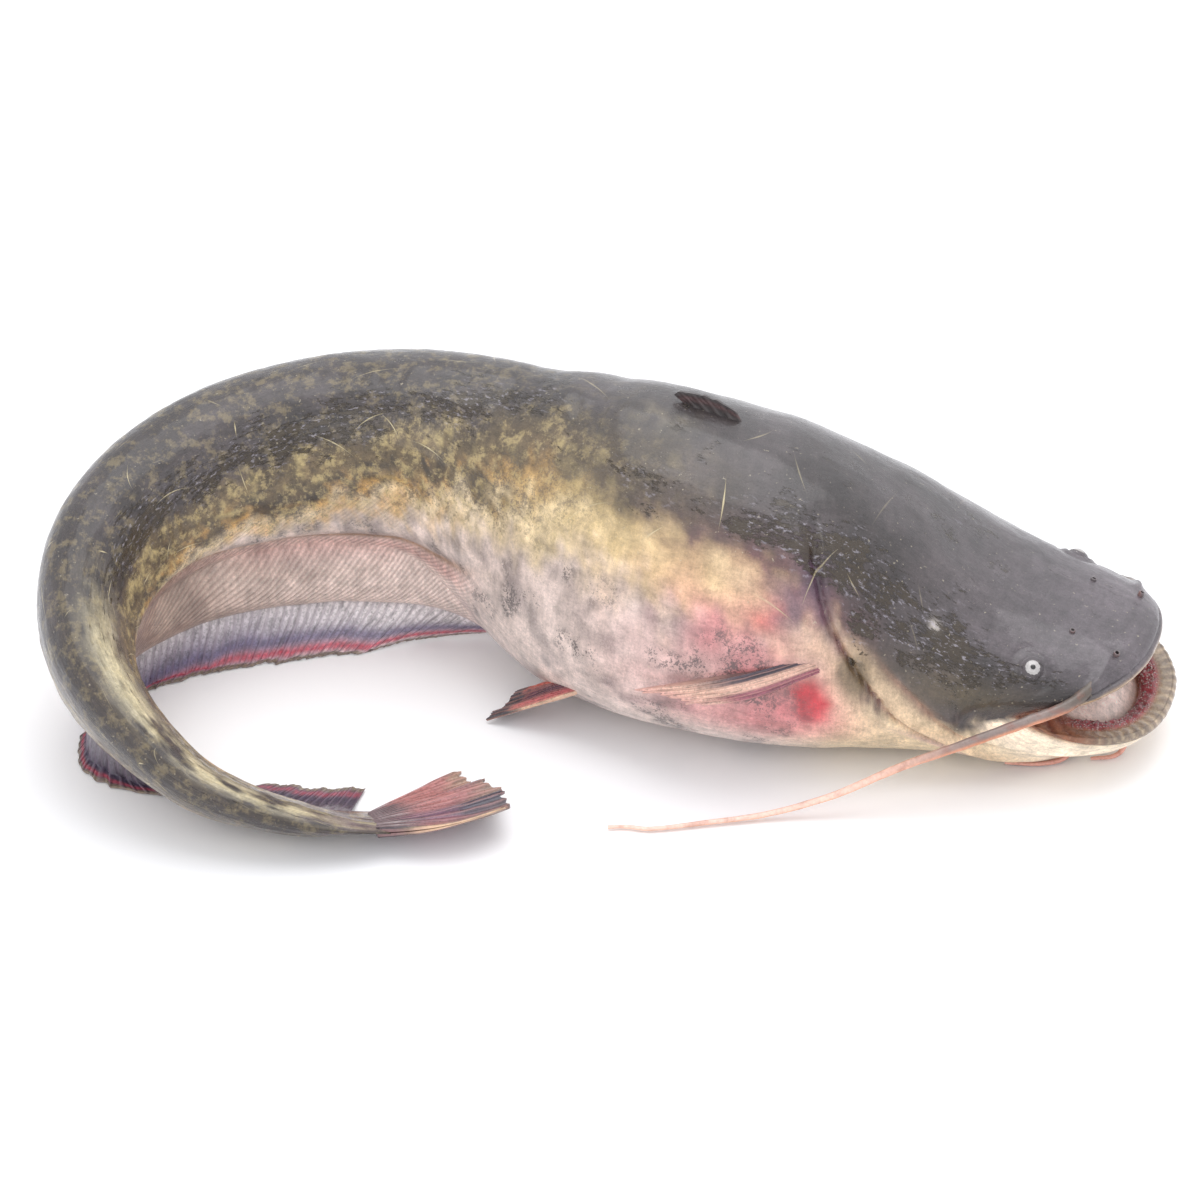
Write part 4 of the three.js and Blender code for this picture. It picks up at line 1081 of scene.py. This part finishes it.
def caudal_surface(u, v):
    tail_dir = tailward(1.0)
    root = end_middle - tail_dir * 6 + end_up * ((-end_belly + (end_back + end_belly) * u) * 0.8)[..., None]
    spread = (u - 0.5) * CAUDAL_FIN_WIDTH
    reach = CAUDAL_FIN_LENGTH * (1 - 0.15 * (2 * u - 1) ** 2)
    edge = end_middle + swept(tail_dir) * reach[..., None] + swept(end_up) * spread[..., None]
    point = root + (edge - root) * v[..., None]
    bulge = np.sin(np.pi * np.clip(v, 0, 1)) * (8 * step(u, 0.35, 1) - 2 * (1 - step(u, 0, 0.5)))
    point = point + swept(end_up) * bulge[..., None]
    pleat = 2.0 * np.sin(2 * np.pi * (3.1 * u + 0.15 * v)) * step(v, 0.1, 0.9)
    point = point + swept(end_side) * pleat[..., None]
    point[..., 2] = np.maximum(point[..., 2], 1.0)
    return point


caudal, u, v = leaf("tail_fin_web", caudal_surface, columns=300, rows=44, rays=17, thick=(5.5, 1.2),
                    ridge=0.4, fray=0.05, seed=7)
patchy = v + 0.14 * wander(u * 13, v * 3, 1, 15)
slate_end = step(patchy, 0.55, 0.75) * np.clip(hump(u, 0.72, 0.2) + hump(u, 0.3, 0.07), 0, 1)
coat = Paint(u.shape, (176, 112, 110))
coat.lay((112, 74, 98), hump(u, 0.72, 0.16) * (1 - step(v, 0.6, 0.9)))
coat.lay((168, 142, 122), 0.85 * step(patchy, 0.72, 0.98))
coat.lay((58, 58, 76), 0.97 * slate_end)
coat.lay((118, 100, 88), 0.8 * step(u, 0.8, 0.9) * step(v, 0.3, 0.7))
coat.lay((84, 70, 78), 1 - step(v + 0.09 * wander(u * 17, v, 1, 16), 0.12, 0.42))
coat.lay((196, 188, 190), 0.6 * step(wander(u * 40, v * 2, 1, 18), 0.2, 0.6) * hump(v, 0.14, 0.12))
coat.lay((216, 186, 148), step(u, 0.965, 0.99) * step(v, 0.1, 0.4))
paint_colour(caudal, "fin_colour", coat.colour)
keep(caudal, "caudal_fin", fin_finish("tail_fin_web_finish", 0.3, (200, 146, 138)))

# %% [markdown]
# The dorsal fin is tiny for so big a fish, four or five short rays folded back against the skin. Its root
# is sunk four millimetres, so no gap opens however the skin curves.

# %% Dorsal fin
def dorsal_surface(u, v):
    root = off_skin(0.272 + 0.033 * u, DORSAL, 0 * u - 4)
    edge = off_skin(0.286 + 0.046 * u, DORSAL, 12 * (0.75 - 0.3 * u))
    reach = 0.42 + 0.58 * np.sqrt(np.sin(np.pi * np.clip(0.04 + 0.9 * u, 0, 1)))
    return root + (edge - root) * (v * reach)[..., None]


dorsal_fin, u, v = leaf("dorsal_fin_web", dorsal_surface, columns=90, rows=20, rays=5, thick=(3.0, 1.2),
                        ridge=0.12, fray=0.05, seed=17)
coat = Paint(u.shape, (60, 52, 52))
coat.lay((110, 84, 84), 0.7 * hump(v, 0.75, 0.12))
coat.lay((84, 78, 78), step(v, 0.85, 0.95))
paint_colour(dorsal_fin, "fin_colour", coat.colour)
keep(dorsal_fin, "dorsal_fin", fin_finish("dorsal_fin_web_finish", 0.12, (84, 74, 72), 0.2))

# %% [markdown]
# The paired fins. The pectoral fin is led by a stout cream spine with a dark web folded above and below
# it; the pelvic fin lies on the slab, orange along its upper edge and dark in the middle. The left ones
# could be mirrored copies, but the body is bent, so each is made again from the same description on its
# own side.

# %% Paired fins
SIDE_WORDS = ((1, "right"), (-1, "left"))
PECTORAL_LENGTH, PELVIC_LENGTH = 88, 46


def pectoral_surface(side):
    def surface(u, v):
        root = off_skin(0.197 + 0.014 * u, on_side(side, 0.32 - 0.17 * u), -5 - 1.5 * u)
        edge_share = 0.2 + PECTORAL_LENGTH * (1 - 0.3 * u) / LENGTH
        edge = off_skin(edge_share, on_side(side, -0.12 + 0.06 * u), 8 + 4 * u)
        point = root + (edge - root) * v[..., None]
        bow = 9 * np.sin(np.pi * np.clip(v, 0, 1))
        return point + rightward(0.24) * (side * bow)[..., None]
    return surface


def pelvic_surface(side):
    def surface(u, v):
        at = on_side(side, -0.55)
        root = off_skin(0.335 + 0.017 * u, at, 0 * u - 4)
        edge = skin(0.345, at) + tailward(0.33) * (PELVIC_LENGTH * (0.95 - 0.15 * u))[..., None]
        edge = edge + rightward(0.33) * (side * 26 * (0.2 - 0.95 * u))[..., None]
        edge[..., 2] = 1.4 + 4 * u
        wave = 1.6 * np.sin(2 * np.pi * 1.5 * u) * step(v, 0.2, 1)
        return root + (edge - root) * v[..., None] + UP * wave[..., None]
    return surface


PECTORAL_WEB = fin_finish("pectoral_fin_web_finish", 0.3, (206, 160, 146))
PELVIC_WEB = fin_finish("pelvic_fin_web_finish", 0.35, (206, 140, 120))
for side, word in SIDE_WORDS:
    pectoral, u, v = leaf(f"pectoral_fin_web_{word}", pectoral_surface(side), columns=150, rows=44, rays=6,
                          thick=(5.0, 1.2), ridge=0.4, fray=0.05, seed=19)
    coat = Paint(u.shape, (226, 184, 164))
    coat.lay((66, 52, 66), (1 - step(u, 0.26, 0.4)) * (1 - step(v, 0.5, 0.85)))
    coat.lay((136, 56, 84), 0.9 * step(u, 0.6, 0.78) * (1 - step(v, 0.65, 0.95)))
    coat.lay((222, 172, 160), step(v, 0.8, 1))
    paint_colour(pectoral, "fin_colour", coat.colour)
    keep(pectoral, f"pectoral_fin_{word}", PECTORAL_WEB)
    pelvic, u, v = leaf(f"pelvic_fin_web_{word}", pelvic_surface(side), columns=170, rows=36, rays=10,
                        thick=(4.0, 0.9), ridge=0.45, fray=0.05, seed=23)
    coat = Paint(u.shape, (204, 132, 122))
    coat.lay((78, 50, 78), 0.95 * hump(u, 0.55, 0.26) * (1 - step(v, 0.6, 0.9)))
    coat.lay((222, 84, 62), 0.85 * step(u, 0.74, 0.9) * (1 - step(v, 0.6, 0.95)))
    coat.lay((206, 96, 108), 0.8 * hump(u, 0.22, 0.1) * (1 - step(v, 0.6, 0.9)))
    coat.lay((232, 204, 172), 0.9 * (1 - step(u, 0.03, 0.08)))
    slate_tip = step(v + 0.1 * wander(u * 9, v * 9, 1, 25), 0.66, 0.82)
    coat.lay((66, 70, 80), 0.95 * slate_tip)
    paint_colour(pelvic, "fin_colour", coat.colour)
    keep(pelvic, f"pelvic_fin_{word}", PELVIC_WEB)

# %% [markdown]
# Six barbels feel the way: a long one from each corner of the upper jaw, and four short ones under the
# chin. Each is a round whisker that tapers from root to tip along a smooth curve through a few places
# beside the head. A curve object with a bevel would give a plain tube; rings round the same curve can
# also swell and shrink a little, lie flat on the slab, and carry the painted colours.

# %% Barbels
def smooth_path(points, count):
    """Evenly spaced places on a smooth curve through the points."""
    points = np.array(points, float)
    chord = np.concatenate([[0], np.cumsum(np.linalg.norm(np.diff(points, axis=0), axis=1) ** 0.5)])
    tangent = np.gradient(points, chord, axis=0)
    t = np.linspace(0, chord[-1], 2000)
    row = np.clip(np.searchsorted(chord, t, side="right") - 1, 0, len(chord) - 2)
    h = (chord[row + 1] - chord[row])[:, None]
    u = ((t - chord[row]) / h[:, 0])[:, None]
    fine = ((1 + 2 * u) * (1 - u) ** 2 * points[row] + u * (1 - u) ** 2 * h * tangent[row]
            + u * u * (3 - 2 * u) * points[row + 1] + u * u * (u - 1) * h * tangent[row + 1])
    walked = np.concatenate([[0], np.cumsum(np.linalg.norm(np.diff(fine, axis=0), axis=1))])
    even = np.linspace(0, walked[-1], count)
    return np.stack([np.interp(even, walked, fine[:, k]) for k in range(3)], -1)


def barbel(name, points, width, tip, count, sides=28):
    """Gives the piece, the share from root to tip at each vertex, and how far it faces up."""
    line = smooth_path(points, count)
    forward = unit(np.gradient(line, axis=0))
    across = unit(np.cross(forward, UP + 0 * forward))
    high = np.cross(across, forward)
    share = np.linspace(0, 1, count)[:, None]
    turn = np.linspace(0, 2 * np.pi, sides, endpoint=False)[None, :]
    uneven = 1 + 0.05 * wander(share * 60 + 0 * turn, turn, 1, 27)
    radius = (width + (tip - width) * share ** 0.8) / 2 * uneven
    spoke = across[:, None] * np.cos(turn)[..., None] + high[:, None] * np.sin(turn)[..., None]
    ring = line[:, None] + radius[..., None] * spoke
    ring[..., 2] = np.maximum(ring[..., 2], 0.1)
    piece, at_ring, at_spoke = tube_from_sphere(name, ring)
    close_up(piece, 80)
    topside = (0 * share + np.sin(turn))[at_ring, at_spoke]
    return piece, (share + 0 * turn)[at_ring, at_spoke], topside


def beside_head(rows, side):
    """Places given as millimetres back from the snout, out to the side, and above the slab."""
    made = []
    for setback, right, height in rows:
        point = spine(setback / LENGTH) + rightward(setback / LENGTH) * side * right
        made.append([point[0], point[1], height])
    return made


def whisker_finish():
    f = Finish("barbel_finish", coat=0.3, coat_roughness=0.15)
    colour = f.colour("barbel_colour")
    colour = f.shade(colour, f.mottle(500, 5, 0.7, 0.82, 1.18))
    colour = f.mix(colour, tint(150, 84, 66), f.times(f.span(f.noise(160, 4), 0.52, 0.66), 0.35))
    height = f.plus(f.noise(420, 4), f.times(f.noise(1300, 3), 0.4))
    return f.done(colour, f.mottle(350, 4, 0.55, 0.24, 0.45), height, 0.4, 0.0003)


def under_skin(share, angle, side, depth):
    """One place a whisker's root passes through, sunk into the skin."""
    return off_skin(share, on_side(side, angle), np.array(-depth))


WHISKER = whisker_finish()
LONG_WIDTH, CHIN_WIDTH, WHISKER_TIP = 7.0, 3.6, 1.6
LONG_ROOT = ((0.05, 1.16, 8.0), (0.042, 1.06, 4.6), (0.032, 0.9, 2.2), (0.022, 0.72, 1.0))
LONG_ROUTE = ((44, 56, 53), (60, 65, 47), (90, 79, 36), (126, 91, 25), (170, 101, 12), (199, 108, 4),
              (220, 117, 2.4), (237, 127, 1.9), (243, 128, 1.8), (248, 131, 1.8))
CHIN_ROUTES = {"front": ((0.044, -1.42), ((22, 16, 5), (25, 20, 2.2), (36, 26, 1.8))),
               "rear": ((0.069, -1.21), ((48, 31, 3.4), (58, 38, 2), (76, 43, 1.8)))}
CHIN_ROOT_DEPTH = 2.5
for side, word in SIDE_WORDS:
    root = [under_skin(share_at, angle, side, depth) for share_at, angle, depth in LONG_ROOT]
    long_route = root + beside_head(LONG_ROUTE, side)
    whisker, s, top = barbel(f"long_barbel_{word}", long_route, LONG_WIDTH, WHISKER_TIP, 320)
    coat = Paint(s.shape, (212, 140, 104))
    coat.lay((136, 120, 114), step(top, -0.3, 0.5) * (1 - step(s, 0.3, 0.6)))
    coat.lay((246, 206, 190), step(s, 0.3, 0.6))
    coat.lay((92, 82, 74), 1 - step(s + 0.02 * wander(s * 40, top, 1, 28), 0.09, 0.2))
    coat.lay((232, 168, 120), 0.6 * step(s, 0.35, 0.6) * (1 - step(top, -0.4, 0.3)))
    paint_colour(whisker, "barbel_colour", coat.colour)
    keep(whisker, f"maxillary_barbel_{word}", WHISKER)
    for place, (root_at, rows) in CHIN_ROUTES.items():
        route = [under_skin(*root_at, side, CHIN_ROOT_DEPTH)] + beside_head(rows, side)
        name = f"{place}_chin_whisker_{word}"
        whisker, s, top = barbel(name, route, CHIN_WIDTH, WHISKER_TIP, 90, 20)
        coat = Paint(s.shape, (214, 152, 136))
        coat.lay((228, 170, 154), s)
        paint_colour(whisker, "barbel_colour", coat.colour)
        keep(whisker, f"{place}_chin_barbel_{word}", WHISKER)

# %% [markdown]
# The eyes are small for so large a head: a silvery iris round a tiny dark pupil. Iris and cornea could be
# two pieces, one clear and one coloured. At 13 mm a single ball does it: its front is swelled into a
# cornea, the rings of the eye are coloured by the distance from its own axis, and a strong clear coat
# makes it look wet.

# %% Eyes
def eye_finish():
    f = Finish("eye_finish", coat=0.9, coat_roughness=0.03)
    out = f.number("from_axis")
    speck = f.noise(1500, 4, roughness=0.7)
    iris = f.shade(tint(178, 174, 172), f.span(speck, 0.3, 0.7, 0.75, 1.2))
    colour = f.mix(tint(14, 12, 12), iris, f.span(out, 0.17, 0.21))
    colour = f.mix(colour, tint(112, 104, 100), f.span(out, 0.52, 0.6))
    colour = f.mix(colour, tint(186, 180, 178), f.span(out, 0.66, 0.74))
    colour = f.mix(colour, tint(60, 52, 50), f.span(out, 0.92, 1.0))
    return f.done(colour, f.span(speck, 0.3, 0.7, 0.08, 0.2), speck, 0.1, 0.0001)


EYE = eye_finish()
for (side, word), centre in zip(SIDE_WORDS, (EYE_RIGHT, EYE_LEFT)):
    start_clean()
    bpy.ops.mesh.primitive_uv_sphere_add(segments=48, ring_count=32, radius=EYE_DIAMETER / 2 * MM,
                                         location=(0, 0, 0))
    ball = bpy.context.object
    ball.name = ball.data.name = f"eyeball_{word}"
    facing = unit(skin(EYE_SHARE, on_side(side, EYE_TURN)) - centre)
    place = np.empty(len(ball.data.vertices) * 3)
    ball.data.vertices.foreach_get("co", place)
    place = place.reshape(-1, 3)
    toward = unit(place) @ facing
    away = np.sqrt(np.maximum(0, 1 - toward ** 2)) + 2 * (toward < 0)
    swell = 1 + 0.05 * step(toward, 0.75, 1.0)
    ball.data.vertices.foreach_set("co", (place * swell[:, None] + placed(centre)).ravel())
    paint(ball, "from_axis", away)
    close_up(ball, 80)
    keep(ball, f"eye_{word}", EYE)

# %% [markdown]
# A catfish smells through two pairs of nostrils. The front ones end in short soft tubes, the rear ones
# are low rings. They could be holes cut in the head, but a whole small tube set into the skin gives the
# same look and leaves the skin closed. Each is modelled as by hand: a cylinder square to the skin, its
# top inset and pushed down to make the opening, its rim rounded with a bevel.

# %% Nostrils
def nostril(name, share, turn, radius, tall):
    base = skin(share, turn)
    way = unit(off_skin(share, turn, np.array(1.0)) - base)
    lean = Vector(way).to_track_quat("Z", "Y").to_euler()
    start_clean()
    bpy.ops.mesh.primitive_cylinder_add(vertices=28, radius=radius * MM, depth=2 * tall * MM,
                                        location=tuple(placed(base)), rotation=lean)
    tube = bpy.context.object
    tube.name = tube.data.name = name
    bpy.ops.object.transform_apply(location=True, rotation=True, scale=True)
    top = max(tube.data.polygons, key=lambda face: face.normal.dot(Vector(way))).index
    bpy.ops.object.mode_set(mode="EDIT")
    bpy.ops.mesh.select_all(action="DESELECT")
    bpy.ops.object.mode_set(mode="OBJECT")
    tube.data.polygons[top].select = True
    bpy.ops.object.mode_set(mode="EDIT")
    bpy.ops.mesh.inset(thickness=0.45 * radius * MM)
    bpy.ops.mesh.extrude_region_move(TRANSFORM_OT_translate={"value": tuple(-way * tall * 0.9 * MM)})
    bpy.ops.object.mode_set(mode="OBJECT")
    rounding = tube.modifiers.new("soft_rim", "BEVEL")
    rounding.width = 0.22 * radius * MM
    rounding.segments = 3
    rounding.angle_limit = math.radians(40)
    bpy.ops.object.modifier_apply(modifier="soft_rim")
    close_up(tube, 60)
    where = np.array([vertex.co for vertex in tube.data.vertices]) / MM - PLACE - base
    deep = step(np.linalg.norm(where - (where @ way)[:, None] * way, axis=1) / radius, 0.4, 0.7)
    # The opening inside the rim is painted near black, as painted shade in the hole; the rim is grey.
    coat = Paint(deep.shape, (30, 24, 24))
    coat.lay((104, 96, 98), deep)
    paint_colour(tube, "barbel_colour", coat.colour)
    keep(tube, None, WHISKER)


for side, word in SIDE_WORDS:
    nostril(f"front_nostril_{word}", 0.038, on_side(side, 1.2), radius=1.6, tall=2.2)
    nostril(f"rear_nostril_{word}", 0.07, on_side(side, 1.3), radius=1.5, tall=1.0)

# %% [markdown]
# The slab is a plain pale floor. One broad soft light hangs above and behind, another stands in front and
# to the left, and the room is white, so the shadows are faint and the wet skin shows long soft
# highlights. Small lamps would be brighter for their power, but a wet skin mirrors them as hard white
# dots.

# %% Floor and light
start_clean()
bpy.ops.mesh.primitive_plane_add(size=12, location=(0, 0, 0))
slab = bpy.context.object
slab.name = "pale_floor"
paper = Finish("pale_floor_finish", coat=0.0)
pale = paper.mix(tint(252, 252, 252), tint(248, 248, 250), paper.noise(3))
slab.data.materials.append(paper.done(pale, 0.7, paper.noise(200), strength=0.02, distance=0.0001))

world = bpy.data.worlds.new("white_room")
bpy.context.scene.world = world
world.use_nodes = True
room = world.node_tree.nodes["Background"].inputs
room["Color"].default_value = (0.96, 0.97, 1.0, 1)
room["Strength"].default_value = 1.1
bpy.context.scene.view_settings.view_transform = "Standard"


def soft_light(name, place, target, size, power):
    start_clean()
    bpy.ops.object.light_add(type="AREA", location=place)
    lamp = bpy.context.object
    lamp.name = name
    lamp.data.shape = "SQUARE"
    lamp.data.size = size
    lamp.data.energy = power
    way = np.array(target) - np.array(place)
    lamp.rotation_euler = Vector(way).to_track_quat("-Z", "Y").to_euler()


soft_light("light_above", (0.15, 0.35, 1.5), (0, 0, 0.05), size=1.5, power=13)
soft_light("light_front", (-0.9, -1.8, 1.5), (0, 0, 0.05), size=1.4, power=6)
print("two soft lights over a", slab.dimensions[0], "m floor")

# %% [markdown]
# The camera stands in front of the fish's right side and looks down on it. A long lens from two metres
# away keeps the near and the far end in proportion; a short lens close by would swell the head.

# %% Camera
ELEVATION = math.radians(35)
DISTANCE = 2.0
AIM = np.array([-0.0049, 0.011, 0.05])
start_clean()
stand = AIM + DISTANCE * np.array([0, -math.cos(ELEVATION), math.sin(ELEVATION)])
bpy.ops.object.camera_add(location=tuple(stand))
camera = bpy.context.object
camera.data.lens = 120
camera.data.sensor_width = 36
camera.rotation_euler = Vector(AIM - stand).to_track_quat("-Z", "Y").to_euler()
bpy.context.scene.camera = camera
print("camera at", stand.round(4))
